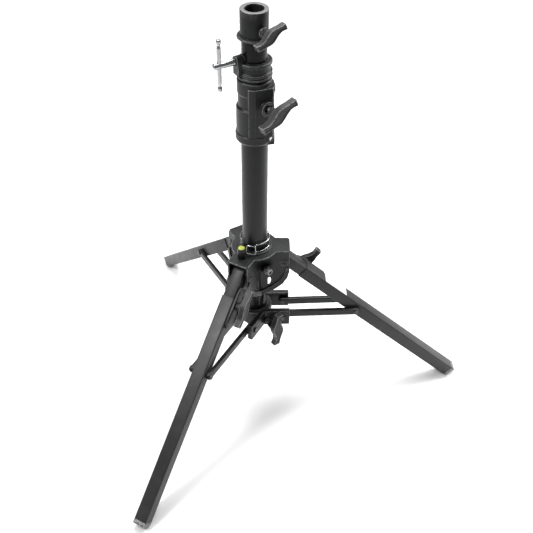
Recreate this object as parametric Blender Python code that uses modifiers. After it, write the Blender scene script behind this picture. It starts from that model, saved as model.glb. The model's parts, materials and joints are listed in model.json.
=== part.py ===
"""Low three-legged lighting stand with a 28.6 mm receiver.

Frame: +Z up, floor at z = 0, the footprint is centred on the origin and leg 1 points along +X.
Every piece is modelled with the column on the Z axis; the last step moves it all to COLUMN_X.
All sizes are metres.
"""
import math

import bmesh
import bpy
from mathutils import Euler, Matrix, Vector

GAP = 0.0003

# The column stands here, which puts the middle of the whole footprint on the origin
COLUMN_X = -0.1005

# Column
TUBE_R = 0.0225
TUBE_WALL = 0.0016
TUBE_BOTTOM = 0.170
TUBE_TOP = 0.6397
RISER_R = 0.020
RISER_WALL = 0.0018
RISER_BOTTOM = 0.187
RISER_FIT = 0.0003
BUSHING_TOP = 0.205
BUSHING_BOTTOM = 0.1835
BUSHING_BORE_R = 0.012

# Receiver socket
SOCKET_R = 0.0218
SOCKET_TOP = 0.808
SOCKET_BASE = 0.762
BORE_R = 0.0143
BORE_DEPTH = 0.090
SOCKET_KNOB_Z = 0.7785
SOCKET_KNOB_AZ = -55.0

# Lock casting
LOCK_BOTTOM = 0.586
LOCK_TOP = 0.697
LOCK_KNOB_Z = 0.655
FRONT_KNOB_AZ = -52.0

# Clamp collar with the chrome screw
CLAMP_BOTTOM = 0.7003
CLAMP_TOP = 0.728
CLAMP_SCREW_Z = 0.730
CLAMP_SCREW_AZ = -152.0
CLAMP_SCREW_R = 0.0052
TOMMY_RADIUS_OUT = 0.060
TOMMY_HALF = 0.0425
TOMMY_R = 0.0033
TOMMY_BALL_R = 0.0039

# Crown that carries the legs
CROWN_TOP = 0.356
CROWN_PLATE = 0.003
CROWN_BOTTOM = 0.225
CROWN_RING_TOP = 0.360
LOBE_HALF = 0.0206
LOBE_REACH = 0.0645
CROWN_SCREW_AZ = -52.0
CROWN_SCREW_Z = 0.319
LEVEL_AZ = -125.0
LEVEL_OUT = 0.0425
LEVEL_TOP = 0.3785
LEVEL_R = 0.0073
VIAL_R = 0.0065
CHEEK_IN = 0.0175
CHEEK_OUT = 0.0205
CHEEK_LIP = 0.0032
CHEEK_EDGE = [(LOBE_REACH - 0.001, 0.3110), (0.0600, 0.2955), (0.0516, 0.2800), (0.0366, 0.2665)]
CHEEK_ROOT = (0.012, 0.2500)
LIP_ROOT = (0.0150, 0.2520)
LIP_PROUD = 0.0005
PIVOT_R = 0.0535
PIVOT_Z = 0.330
SLEEVE_R = 0.0243
SLEEVE_BOTTOM = 0.250
FIN_SPREAD = 11.0
FIN_HALF = 0.0013
FIN_OUT = 0.0264
FIN_TOP = 0.325
VALLEYS = (60.0, 180.0, 300.0)
LEG_AZIMUTHS = (0.0, 120.0, 240.0)

# Legs: x along the leg from its pivot, y across it, z out of its upper face
LEG_SLOPE = 41.9
LEG_HALF = 0.0125
LEG_WALL = 0.0015
LEG_TUBE_START = 0.049
LEG_TUBE_END = 0.476
LEG_CAP_END = 0.484
LEG_KNOB_X = 0.0602
LEG_KNOB_TILTS = {1: 90.0, 3: 0.0}
PLATE_IN = LEG_HALF + GAP
PLATE_OUT = PLATE_IN + 0.0045
BRACE_PIN_X = 0.194

# Bottom collar and braces
COLLAR_BOTTOM = 0.178
COLLAR_TOP = 0.210
COLLAR_R = 0.0325
COLLAR_KNOB_Z = 0.190
COLLAR_KNOB_AZ = -53.0
LUG_R = PIVOT_R
LUG_Z = 0.196
EAR_IN = 0.0211
EAR_OUT = 0.0310
EAR_HALF = 0.0172
EAR_REACH = 0.0665
BRACE_IN = 0.0142
BRACE_OUT = 0.0208
BRACE_HALF = 0.007

# Chrome wire clip round the column
CLIP_R = 0.0262
CLIP_WIRE = 0.0009
CLIP_LOW = CROWN_RING_TOP + GAP + CLIP_WIRE
CLIP_HIGH = CLIP_LOW + 0.0165
LINK_AZ = -104.0
LINK_SPREAD = 15.0
LINK_OUT = 0.0318
LINK_Z = 0.3690
LINK_HALF = 0.0074

SEGMENTS = 24
STAND_UP = Matrix.Rotation(math.radians(90), 4, "Y")


def clear_scene():
    for item in list(bpy.data.objects):
        bpy.data.objects.remove(item, do_unlink=True)


def new_collection(name):
    found = bpy.data.collections.get(name) or bpy.data.collections.new(name)
    if name not in bpy.context.scene.collection.children:
        bpy.context.scene.collection.children.link(found)
    return found


clear_scene()
PARTS = new_collection("lighting_stand")
TOOLS = new_collection("cutters")


def material(name, colour, roughness, metallic):
    found = bpy.data.materials.get(name)
    if found:
        return found
    made = bpy.data.materials.new(name)
    made.use_nodes = True
    shader = made.node_tree.nodes["Principled BSDF"]
    shader.inputs["Base Color"].default_value = (*colour, 1.0)
    shader.inputs["Roughness"].default_value = roughness
    shader.inputs["Metallic"].default_value = metallic
    return made


def black_tube():
    return material("satin_black_tube", (0.020, 0.021, 0.022), 0.40, 0.2)


def black_cast():
    return material("black_casting", (0.030, 0.032, 0.033), 0.55, 0.1)


def leg_grey():
    return material("dark_grey_leg", (0.045, 0.046, 0.048), 0.50, 0.1)


def black_plastic():
    return material("black_plastic", (0.022, 0.023, 0.024), 0.60, 0.0)


def chrome():
    return material("chrome", (0.75, 0.75, 0.74), 0.12, 1.0)


def zinc():
    return material("zinc_steel", (0.45, 0.45, 0.44), 0.35, 1.0)


def black_steel():
    return material("black_steel", (0.05, 0.05, 0.05), 0.40, 0.8)


def green_vial():
    return material("green_vial", (0.55, 0.62, 0.05), 0.15, 0.0)


# ---- shape helpers -----------------------------------------------------------------


def place_mesh(name, mesh, colour, collection=None):
    """Link a mesh as an object with one material."""
    made = bpy.data.objects.new(name, mesh)
    (collection or PARTS).objects.link(made)
    mesh.materials.clear()
    mesh.materials.append(colour)
    return made


def hide_tool(item):
    item.hide_render = True
    item.display_type = "WIRE"
    return item


def box(name, low, high, colour=None):
    """A box between two corners."""
    low, high = Vector(low), Vector(high)
    work = bmesh.new()
    bmesh.ops.create_cube(work, size=1.0)
    bmesh.ops.scale(work, vec=high - low, verts=work.verts)
    bmesh.ops.translate(work, vec=(low + high) / 2, verts=work.verts)
    mesh = bpy.data.meshes.new(name)
    work.to_mesh(mesh)
    work.free()
    return place_mesh(name, mesh, colour or black_cast(), TOOLS if colour is None else PARTS)


def rod(name, start, end, radius, colour=None, segments=16, end_radius=None):
    """A cylinder or cone frustum between two points."""
    start, end = Vector(start), Vector(end)
    work = bmesh.new()
    bmesh.ops.create_cone(
        work,
        cap_ends=True,
        segments=segments,
        radius1=radius,
        radius2=radius if end_radius is None else end_radius,
        depth=(end - start).length,
    )
    turn = Vector((0, 0, 1)).rotation_difference(end - start).to_matrix().to_4x4()
    bmesh.ops.transform(work, matrix=Matrix.Translation((start + end) / 2) @ turn, verts=work.verts)
    mesh = bpy.data.meshes.new(name)
    work.to_mesh(mesh)
    work.free()
    return place_mesh(name, mesh, colour or black_cast(), TOOLS if colour is None else PARTS)


def bake(item):
    """Replace an object's mesh with its evaluated one, without modifiers."""
    bpy.context.view_layer.update()
    graph = bpy.context.evaluated_depsgraph_get()
    mesh = bpy.data.meshes.new_from_object(item.evaluated_get(graph), depsgraph=graph)
    item.modifiers.clear()
    item.data = mesh
    return item


def turned(name, profile, colour=None, segments=SEGMENTS, ring=True):
    """A turned piece: radius and height pairs, down the outer side first."""
    mesh = bpy.data.meshes.new(name)
    count = len(profile)
    edges = [(i, (i + 1) % count) for i in range(count if ring else count - 1)]
    mesh.from_pydata([(radius, 0.0, height) for radius, height in profile], edges, [])
    made = place_mesh(name, mesh, colour or black_cast(), TOOLS if colour is None else PARTS)
    screw = made.modifiers.new("turn", "SCREW")
    screw.angle = math.tau
    screw.steps = segments
    screw.render_steps = segments
    screw.use_merge_vertices = True
    screw.merge_threshold = 0.00001
    screw.use_smooth_shade = True
    return bake(made)


def plate(name, outline, low, high, colour=None):
    """A flat outline in XY between two heights, as a filled 2D curve."""
    curve = bpy.data.curves.new(name, "CURVE")
    curve.dimensions = "2D"
    curve.fill_mode = "BOTH"
    curve.extrude = (high - low) / 2
    line = curve.splines.new("POLY")
    line.points.add(len(outline) - 1)
    for point, (x, y) in zip(line.points, outline):
        point.co = (x, y, 0.0, 1.0)
    line.use_cyclic_u = True
    drawn = bpy.data.objects.new(name, curve)
    TOOLS.objects.link(drawn)
    bpy.context.view_layer.update()
    graph = bpy.context.evaluated_depsgraph_get()
    mesh = bpy.data.meshes.new_from_object(drawn.evaluated_get(graph), depsgraph=graph)
    bpy.data.objects.remove(drawn, do_unlink=True)
    work = bmesh.new()
    work.from_mesh(mesh)
    bmesh.ops.remove_doubles(work, verts=work.verts, dist=0.000001)
    bmesh.ops.translate(work, vec=(0, 0, (low + high) / 2), verts=work.verts)
    bmesh.ops.recalc_face_normals(work, faces=work.faces)
    work.to_mesh(mesh)
    work.free()
    return place_mesh(name, mesh, colour or black_cast(), TOOLS if colour is None else PARTS)


def combine(item, other, operation):
    """Apply one EXACT Boolean and drop the tool."""
    hide_tool(other)
    mod = item.modifiers.new(operation.lower(), "BOOLEAN")
    mod.operation = operation
    mod.solver = "EXACT"
    mod.object = other
    bake(item)
    bpy.data.objects.remove(other, do_unlink=True)
    return item


def cut(item, *others):
    for other in others:
        combine(item, other, "DIFFERENCE")
    return item


def join(item, *others):
    for other in others:
        combine(item, other, "UNION")
    return item


def move(item, matrix):
    """Transform an object's mesh in place."""
    item.data.transform(matrix)
    item.data.update()
    return item


def finish(item, angle=35.0):
    """Smooth shading with sharp edges kept."""
    item.data.shade_smooth()
    item.data.set_sharp_from_angle(angle=math.radians(angle))
    return item


def frame_at(name, location, rotation=(0.0, 0.0, 0.0), parent=None):
    """An empty on a joint's axis; rotation is a matrix or XYZ angles."""
    empty = bpy.data.objects.new(name, None)
    PARTS.objects.link(empty)
    empty.empty_display_size = 0.02
    turn = rotation.to_4x4() if isinstance(rotation, Matrix) else Euler(rotation).to_matrix().to_4x4()
    empty.matrix_world = Matrix.Translation(Vector(location)) @ turn
    if parent:
        attach(empty, parent)
    return empty


def attach(item, parent):
    """Parent a piece that is modelled in the parent's own axes."""
    bpy.context.view_layer.update()
    item.parent = parent
    if item.type == "EMPTY":
        item.matrix_parent_inverse = parent.matrix_world.inverted()
    return item


def about_z(degrees):
    return Matrix.Rotation(math.radians(degrees), 4, "Z")


def radial(azimuth, distance, height):
    angle = math.radians(azimuth)
    return Vector((distance * math.cos(angle), distance * math.sin(angle), height))


def arc(centre_x, centre_y, radius, start, end, steps):
    """Points of an arc, angles in degrees."""
    points = []
    for i in range(steps + 1):
        angle = math.radians(start + (end - start) * i / steps)
        points.append((centre_x + radius * math.cos(angle), centre_y + radius * math.sin(angle)))
    return points


# ---- T-knob ------------------------------------------------------------------------


def wing_outline(length, bulge, tip, sway, steps=13):
    """S-shaped bow-tie outline: a round middle, narrower necks and wider tips."""
    upper, lower = [], []
    for i in range(steps + 1):
        along = -1.0 + 2.0 * i / steps
        swell = (bulge - tip) * math.exp(-((along / 0.36) ** 2))
        neck = 0.18 * tip * math.exp(-(((abs(along) - 0.66) / 0.22) ** 2))
        width = tip + swell - neck
        centre = sway * math.sin(math.pi * along)
        upper.append((along * length / 2, centre + width / 2))
        lower.append((along * length / 2, centre - width / 2))
    return upper + lower[::-1]


def t_knob(name, length, reach, hub_start, thickness, screw=None):
    """Wing on a hub. Axis +X from the origin; the wing spans Y; returns knob (and screw)."""
    wing = plate(
        name,
        wing_outline(length, length * 0.32, length * 0.185, length * 0.040),
        reach - thickness / 2,
        reach + thickness / 2,
        black_plastic(),
    )
    bevel = wing.modifiers.new("edges", "BEVEL")
    bevel.width = 0.0012
    bevel.segments = 1
    bevel.limit_method = "ANGLE"
    bevel.angle_limit = math.radians(60)
    bake(wing)
    hub = rod("hub", (0, 0, hub_start), (0, 0, reach), length * 0.095, end_radius=length * 0.130)
    join(wing, hub)
    lay_down = Matrix.Rotation(math.radians(90), 4, "Y") @ Matrix.Rotation(math.radians(90), 4, "Z")
    move(wing, lay_down)
    pieces = [wing]
    if screw:
        start, radius = screw
        hole = rod("hole", (hub_start - 0.001, 0, 0), (hub_start + 0.006, 0, 0), radius + GAP, segments=12)
        cut(wing, hole)
        end = (hub_start + 0.0055, 0, 0)
        stem = rod(name + "_screw", (start, 0, 0), end, radius, zinc(), segments=12)
        pieces.append(stem)
    for piece in pieces:
        finish(piece)
    return pieces


def put_knob(pieces, frame):
    for piece in pieces:
        attach(piece, frame)


def knob_frame(name, azimuth, height, tilt):
    turn = about_z(azimuth) @ Matrix.Rotation(math.radians(tilt), 4, "X")
    return frame_at(name, (0, 0, height), turn.to_3x3())


# ---- column ------------------------------------------------------------------------


def main_tube():
    inner = TUBE_R - TUBE_WALL
    profile = [(TUBE_R, TUBE_TOP), (TUBE_R, TUBE_BOTTOM), (inner, TUBE_BOTTOM), (inner, TUBE_TOP)]
    return finish(turned("main_tube", profile, black_tube()))


def end_plug():
    inner = TUBE_R - TUBE_WALL - GAP
    low = TUBE_BOTTOM - 0.004
    lip = TUBE_BOTTOM - GAP
    top = TUBE_BOTTOM + 0.012
    profile = [(0.0, top), (inner, top), (inner, lip), (TUBE_R, lip), (TUBE_R, low + 0.0012)]
    profile += [(TUBE_R - 0.0015, low), (0.0, low)]
    return finish(turned("tube_end_plug", profile, black_plastic(), ring=False))


def lock_casting():
    """Clamp casting on the tube top, with its faceted front, boss, ears and seam."""
    profile = [
        (0.0262, LOCK_TOP),
        (0.0279, LOCK_TOP - 0.0015),
        (0.0279, 0.674),
        (0.0266, 0.672),
        (0.0266, 0.6515),
        (0.0296, 0.6475),
        (0.0298, 0.6035),
        (0.0314, 0.6015),
        (0.0314, 0.5905),
        (0.0285, LOCK_BOTTOM),
        (0.0150, LOCK_BOTTOM),
        (0.0150, LOCK_TOP),
    ]
    body = turned("lock_casting", profile, black_cast())
    face = [(-0.0104, -0.0240), (-0.0100, -0.0288), (-0.0050, -0.0305), (0.0010, -0.0311)]
    face += [(0.0290, -0.0222), (0.0312, -0.017)]
    face += [(0.0312, 0.004), (0.027, 0.012), (0.0, 0.012), (-0.006, -0.015)]
    join(body, plate("front_block", face, 0.5935, 0.6890))
    upper_ear = [(0.01, -0.009), (0.0329, -0.009), (0.0329, 0.006), (0.01, 0.006)]
    join(body, plate("ear_top", upper_ear, 0.6755, 0.6835))
    lower_ear = [(0.01, -0.022), (0.0325, -0.018), (0.0325, 0.005), (0.01, 0.005)]
    join(body, plate("ear_low", lower_ear, 0.5845, 0.600))
    boss_end = radial(FRONT_KNOB_AZ, 0.0355, LOCK_KNOB_Z)
    join(body, rod("boss", radial(FRONT_KNOB_AZ, 0.020, LOCK_KNOB_Z), boss_end, 0.0123, segments=24))
    recess_from = radial(FRONT_KNOB_AZ, 0.0328, LOCK_KNOB_Z)
    cut(body, rod("recess", recess_from, radial(FRONT_KNOB_AZ, 0.040, LOCK_KNOB_Z), 0.0085))
    cut(body, rod("pad_hole", radial(FRONT_KNOB_AZ, 0.0, LOCK_KNOB_Z), recess_from, 0.0062))
    cut(body, rod("riser_bore", (0, 0, 0.630), (0, 0, 0.705), RISER_R + RISER_FIT, segments=SEGMENTS))
    cut(body, rod("tube_bore", (0, 0, 0.575), (0, 0, 0.640), TUBE_R + GAP, segments=SEGMENTS))
    bolt_seat = rod("seat", radial(-40, 0.029, 0.598), radial(-40, 0.040, 0.598), 0.0036, segments=16)
    cut(body, bolt_seat)
    seam = box("seam", (0.0268, -0.0004, 0.580), (0.036, 0.0004, 0.700))
    move(seam, about_z(-109))
    cut(body, seam)
    return finish(body)


def lock_pad():
    """Brake pad that the lock screw pushes on the riser."""
    inner = RISER_R + 0.0006
    pad = rod(
        "lock_pad",
        radial(FRONT_KNOB_AZ, inner - 0.002, LOCK_KNOB_Z),
        radial(FRONT_KNOB_AZ, 0.0262, LOCK_KNOB_Z),
        0.0058,
        zinc(),
        20,
    )
    cut(pad, rod("riser", (0, 0, 0.640), (0, 0, 0.670), inner, segments=SEGMENTS))
    return finish(pad)


def casting_bolt():
    """Clamp bolt in the lower ear."""
    start = radial(-40, 0.0293, 0.598)
    return finish(rod("casting_bolt", start, radial(-40, 0.0345, 0.598), 0.0033, zinc(), 12))


def bottom_collar():
    """Collar on the tube's lower end, with two lug ears for each leg."""
    profile = [
        (COLLAR_R - 0.001, COLLAR_TOP),
        (COLLAR_R, COLLAR_TOP - 0.001),
        (COLLAR_R, COLLAR_BOTTOM + 0.003),
        (COLLAR_R - 0.004, COLLAR_BOTTOM),
        (0.015, COLLAR_BOTTOM),
        (0.015, COLLAR_TOP),
    ]
    body = turned("bottom_collar", profile, black_cast())
    low, high = LUG_Z - EAR_HALF, LUG_Z + EAR_HALF
    for azimuth in LEG_AZIMUTHS:
        for side in (-1, 1):
            near, far = sorted((side * EAR_IN, side * EAR_OUT))
            ear = box("ear", (0.012, near, low), (EAR_REACH, far, high))
            move(ear, about_z(azimuth))
            join(body, ear)
            pin_end = (LUG_R, side * 0.040, LUG_Z)
            pin = rod("pin", (LUG_R, side * 0.010, LUG_Z), pin_end, 0.0033, segments=12)
            move(pin, about_z(azimuth))
            cut(body, pin)
    boss_end = radial(COLLAR_KNOB_AZ, 0.0415, COLLAR_KNOB_Z)
    join(body, rod("boss", radial(COLLAR_KNOB_AZ, 0.018, COLLAR_KNOB_Z), boss_end, 0.0085))
    hole_end = radial(COLLAR_KNOB_AZ, 0.05, COLLAR_KNOB_Z)
    cut(body, rod("screw_hole", radial(COLLAR_KNOB_AZ, 0.0, COLLAR_KNOB_Z), hole_end, 0.0043))
    cut(body, rod("bore", (0, 0, 0.170), (0, 0, 0.220), TUBE_R + GAP, segments=SEGMENTS))
    return finish(body)


def lug_bolts():
    """Shoulder bolts through each ear and its brace, with a thin inner retainer."""
    made = []
    for number, azimuth in enumerate(LEG_AZIMUTHS, 1):
        for side, letter in ((-1, "a"), (1, "b")):
            name = f"lug_bolt_{number}{letter}"
            bolt_end = (LUG_R, side * (EAR_OUT + 0.001), LUG_Z)
            bolt = rod(name, (LUG_R, side * 0.0137, LUG_Z), bolt_end, 0.0030, black_steel(), 12)
            head_start = (LUG_R, side * (EAR_OUT + GAP), LUG_Z)
            head = rod("head", head_start, (LUG_R, side * (EAR_OUT + 0.0026), LUG_Z), 0.0052, segments=6)
            clip_end = (LUG_R, side * 0.0139, LUG_Z)
            clip = rod("clip", (LUG_R, side * 0.0131, LUG_Z), clip_end, 0.0048, segments=12)
            join(bolt, head, clip)
            move(bolt, about_z(azimuth))
            made.append(finish(bolt))
    return made


# ---- riser and receiver ------------------------------------------------------------


def riser_tube():
    inner = RISER_R - RISER_WALL
    top = SOCKET_BASE - GAP
    profile = [(RISER_R, top), (RISER_R, RISER_BOTTOM), (inner, RISER_BOTTOM), (inner, top)]
    return finish(turned("riser_tube", profile, black_tube()))


def riser_bushing():
    """Plastic guide under the riser that runs in the main tube."""
    outer = TUBE_R - TUBE_WALL - GAP
    plug = RISER_R - RISER_WALL - GAP
    lip = RISER_BOTTOM - GAP
    profile = [(plug, BUSHING_TOP), (plug, lip), (outer, lip), (outer, BUSHING_BOTTOM)]
    profile += [(BUSHING_BORE_R, BUSHING_BOTTOM), (BUSHING_BORE_R, BUSHING_TOP)]
    return finish(turned("riser_bushing", profile, black_plastic()))


def socket():
    """Receiver: rim, barrel, flange bead and a spigot inside the riser."""
    spigot = RISER_R - RISER_WALL - GAP
    floor = SOCKET_TOP - BORE_DEPTH
    mouth = 0.0152
    profile = [
        (SOCKET_R - 0.0006, SOCKET_TOP),
        (SOCKET_R, SOCKET_TOP - 0.0006),
        (SOCKET_R, SOCKET_BASE + 0.0054),
        (0.0258, SOCKET_BASE + 0.0050),
        (0.0268, SOCKET_BASE + 0.0038),
        (0.0268, SOCKET_BASE + 0.0022),
        (0.0258, SOCKET_BASE + 0.0010),
        (0.0225, SOCKET_BASE),
        (spigot, SOCKET_BASE),
        (spigot, floor - 0.004),
        (0.0, floor - 0.004),
        (0.0, floor),
        (BORE_R, floor),
        (BORE_R, SOCKET_TOP - 0.002),
        (mouth, SOCKET_TOP),
    ]
    body = turned("receiver_socket", profile, black_cast(), ring=True)
    boss_end = radial(SOCKET_KNOB_AZ, 0.0262, SOCKET_KNOB_Z)
    boss = rod("boss", radial(SOCKET_KNOB_AZ, 0.0185, SOCKET_KNOB_Z), boss_end, 0.0080)
    join(body, boss)
    hole_end = radial(SOCKET_KNOB_AZ, 0.03, SOCKET_KNOB_Z)
    cut(body, rod("screw_hole", radial(SOCKET_KNOB_AZ, 0.0, SOCKET_KNOB_Z), hole_end, 0.0043))
    return finish(body)


# ---- clamp collar ------------------------------------------------------------------


def clamp_collar():
    """Ribbed collar that rides on the riser above the lock."""
    profile = [
        (0.0268, CLAMP_TOP),
        (0.0282, CLAMP_TOP - 0.0014),
        (0.0282, CLAMP_TOP - 0.0050),
        (0.0256, CLAMP_TOP - 0.0072),
        (0.0256, 0.7125),
        (0.0283, 0.7105),
        (0.0283, 0.7072),
        (0.0268, 0.7062),
        (0.0268, 0.7048),
        (0.0284, 0.7040),
        (0.0284, 0.7015),
        (0.0272, CLAMP_BOTTOM),
        (0.0150, CLAMP_BOTTOM),
        (0.0150, CLAMP_TOP),
    ]
    body = turned("clamp_collar", profile, black_cast())
    boss_end = radial(CLAMP_SCREW_AZ, 0.0335, CLAMP_SCREW_Z)
    join(body, rod("boss", radial(CLAMP_SCREW_AZ, 0.017, CLAMP_SCREW_Z), boss_end, 0.0090))
    lug = box("lug", (0.017, -0.0088, 0.7075), (0.0326, 0.0088, CLAMP_SCREW_Z + 0.001))
    join(body, move(lug, about_z(CLAMP_SCREW_AZ)))
    screw_near = radial(CLAMP_SCREW_AZ, 0.0, CLAMP_SCREW_Z)
    screw_far = radial(CLAMP_SCREW_AZ, 0.05, CLAMP_SCREW_Z)
    cut(body, rod("screw_hole", screw_near, screw_far, CLAMP_SCREW_R + 0.0004))
    cut(body, rod("bore", (0, 0, 0.69), (0, 0, 0.75), RISER_R + RISER_FIT, segments=SEGMENTS))
    return finish(body)


def clamp_screw():
    """Chrome clamp screw with a domed head and a cross hole; along +X from the column axis."""
    profile = [(0.0, 0.0707)]
    for angle in (30, 60, 90):
        bulge = math.radians(angle)
        profile.append((CLAMP_SCREW_R * math.sin(bulge), 0.0682 + 0.0025 * math.cos(bulge)))
    profile += [(CLAMP_SCREW_R, 0.0204), (0.0, 0.0204)]
    body = turned("clamp_screw", profile, chrome(), 16, ring=False)
    move(body, Matrix.Rotation(math.radians(90), 4, "Y"))
    across = ((TOMMY_RADIUS_OUT, 0, -0.01), (TOMMY_RADIUS_OUT, 0, 0.01))
    cut(body, rod("hole", *across, TOMMY_R + GAP))
    return finish(body)


def tommy_bar():
    """Sliding bar through the clamp screw, with a ball at each end."""
    upper = [(0.0, TOMMY_HALF), (0.0030, TOMMY_HALF - 0.0004), (TOMMY_BALL_R, TOMMY_HALF - 0.0022)]
    upper += [(TOMMY_BALL_R, TOMMY_HALF - 0.0060), (0.0026, TOMMY_HALF - 0.0082)]
    upper += [(0.0026, TOMMY_HALF - 0.0100), (TOMMY_R, TOMMY_HALF - 0.0140)]
    lower = [(radius, -height) for radius, height in reversed(upper)]
    return finish(turned("tommy_bar", upper + lower, chrome(), 12, ring=False))


# ---- crown -------------------------------------------------------------------------


def upright_plate(name, shape, side, inner, outer, colour=None):
    """A plate standing along +X, between two distances from the XZ plane on one side of it."""
    low, high = sorted((-side * inner, -side * outer))
    made = plate(name, shape, low, high, colour)
    return move(made, Matrix.Rotation(math.radians(90), 4, "X"))


def crown():
    """Sliding crown: plate with three lobes, cheeks, ribbed sleeve and top ring."""
    profile = [
        (0.0295, CROWN_RING_TOP),
        (0.0310, CROWN_RING_TOP - 0.001),
        (0.0310, CROWN_TOP - 0.0005),
        (0.0300, 0.341),
        (0.0262, 0.333),
        (0.0250, 0.318),
        (SLEEVE_R, SLEEVE_BOTTOM),
        (0.0150, SLEEVE_BOTTOM),
        (0.0150, CROWN_RING_TOP),
    ]
    body = turned("crown", profile, black_cast())
    under = CROWN_TOP - CROWN_PLATE
    join(body, rod("web", (0, 0, under), (0, 0, CROWN_TOP), 0.0430, segments=SEGMENTS))
    for azimuth in VALLEYS:
        for side in (-1, 1):
            fin = box("fin", (0.0215, -FIN_HALF, CROWN_BOTTOM), (FIN_OUT, FIN_HALF, FIN_TOP))
            join(body, move(fin, about_z(azimuth + side * FIN_SPREAD)))
    for azimuth in LEG_AZIMUTHS:
        corner = 0.004
        lobe = [(0.010, -LOBE_HALF), (LOBE_REACH - corner, -LOBE_HALF)]
        lobe += [(LOBE_REACH, -LOBE_HALF + corner), (LOBE_REACH, LOBE_HALF - corner)]
        lobe += [(LOBE_REACH - corner, LOBE_HALF), (0.010, LOBE_HALF)]
        top = plate("lobe", lobe, under, CROWN_TOP)
        move(top, about_z(azimuth))
        join(body, top)
        for side in (-1, 1):
            side_shape = [(CHEEK_ROOT[0], under + 0.001), (LOBE_REACH - 0.001, under + 0.001)]
            side_shape += CHEEK_EDGE + [CHEEK_ROOT]
            cheek = upright_plate("cheek", side_shape, side, CHEEK_IN, CHEEK_OUT)
            lower = [(x + LIP_PROUD, z - LIP_PROUD) for x, z in CHEEK_EDGE + [LIP_ROOT]]
            upper = [(x - CHEEK_LIP * 0.5, z + CHEEK_LIP) for x, z in lower]
            lip_in = CHEEK_IN + LIP_PROUD
            lip = upright_plate("lip", lower + upper[::-1], side, lip_in, CHEEK_OUT + CHEEK_LIP)
            join(cheek, lip)
            window = rod("window", (0.0268, side * 0.01, 0.284), (0.0268, side * 0.03, 0.284), 0.0036)
            cut(cheek, window)
            join(body, move(cheek, about_z(azimuth)))
        bolt_hole = rod("hole", (PIVOT_R, -0.03, PIVOT_Z), (PIVOT_R, 0.03, PIVOT_Z), 0.0043, segments=12)
        move(bolt_hole, about_z(azimuth))
        cut(body, bolt_hole)
    boss_end = radial(CROWN_SCREW_AZ, 0.0365, CROWN_SCREW_Z)
    join(body, rod("boss", radial(CROWN_SCREW_AZ, 0.018, CROWN_SCREW_Z), boss_end, 0.0085))
    screw_far = radial(CROWN_SCREW_AZ, 0.05, CROWN_SCREW_Z)
    cut(body, rod("screw_hole", radial(CROWN_SCREW_AZ, 0.0, CROWN_SCREW_Z), screw_far, 0.0040))
    cut(body, rod("bore", (0, 0, 0.215), (0, 0, 0.365), TUBE_R + GAP, segments=SEGMENTS))
    return finish(body)


def crown_screw():
    """Round-headed lock screw of the crown, along +X from the column axis."""
    profile = [(0.0, 0.0455), (0.0058, 0.0455), (0.0072, 0.0440), (0.0072, 0.0372)]
    profile += [(0.0036, 0.0372), (0.0036, 0.0232), (0.0, 0.0232)]
    body = turned("crown_screw", profile, black_plastic(), 16, ring=False)
    return finish(move(body, Matrix.Rotation(math.radians(90), 4, "Y")))


def pivot_bolt(number, azimuth):
    """Leg pivot: shank through cheeks and leg head, a low socket head at each end."""
    out = CHEEK_OUT + GAP
    reach = out + 0.0003
    end = out + 0.0016
    shank_ends = ((PIVOT_R, -reach, PIVOT_Z), (PIVOT_R, reach, PIVOT_Z))
    bolt = rod(f"pivot_bolt_{number}", *shank_ends, 0.0040, black_steel(), 12)
    for side in (-1, 1):
        head_start = (PIVOT_R, side * out, PIVOT_Z)
        join(bolt, rod("head", head_start, (PIVOT_R, side * end, PIVOT_Z), 0.0060, segments=12))
        hollow_start = (PIVOT_R, side * (out + 0.0007), PIVOT_Z)
        hollow_end = (PIVOT_R, side * (end + 0.001), PIVOT_Z)
        cut(bolt, rod("hollow", hollow_start, hollow_end, 0.0030, segments=6))
    move(bolt, about_z(azimuth))
    return finish(bolt)


def level():
    """Bubble level: a black cup on the crown and a vial in it."""
    low = CROWN_TOP + GAP
    deep = LEVEL_TOP - 0.008
    profile = [(LEVEL_R, LEVEL_TOP), (LEVEL_R, low), (0.0, low), (0.0, deep)]
    profile += [(VIAL_R, deep), (VIAL_R, LEVEL_TOP)]
    cup = turned("level_cup", profile, black_plastic(), 20)
    place = Matrix.Translation(radial(LEVEL_AZ, LEVEL_OUT, 0.0))
    move(cup, place)
    inner = VIAL_R - GAP
    top = LEVEL_TOP + 0.0008
    shape = [(0.0, top), (inner - 0.001, top), (inner, top - 0.001)]
    shape += [(inner, deep + GAP), (0.0, deep + GAP)]
    vial = turned("level_vial", shape, green_vial(), 20, ring=False)
    move(vial, place)
    return [finish(cup), finish(vial)]


def clip_point(azimuth, height):
    return radial(azimuth, CLIP_R, height)


def wire_clip():
    """Spring clip of one wire: two levels round the column, joined by a U-bend at each end."""
    start, end, steps = -84.0, 205.0, 16
    bend = 4.0
    points = [clip_point(start + (end - start) * i / steps, CLIP_HIGH) for i in range(steps + 1)]
    points += [clip_point(end + bend, CLIP_HIGH - 0.003), clip_point(end + bend, CLIP_LOW + 0.003)]
    points += [clip_point(end + (start - end) * i / steps, CLIP_LOW) for i in range(steps + 1)]
    points += [clip_point(start - bend, CLIP_LOW + 0.003), clip_point(start - bend, CLIP_HIGH - 0.003)]
    return closed_wire("wire_clip", points)


def wire_link():
    """Oval link beside the clip, leaning out over the crown's ring."""
    points = []
    for i in range(12):
        turn = math.tau * i / 12
        across = max(-1.0, min(1.0, 1.35 * math.cos(turn)))
        height = max(-1.0, min(1.0, 1.35 * math.sin(turn)))
        out = LINK_OUT - 0.0024 * height
        points.append(radial(LINK_AZ + LINK_SPREAD * across, out, LINK_Z + LINK_HALF * height))
    return closed_wire("wire_link", points)


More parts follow.
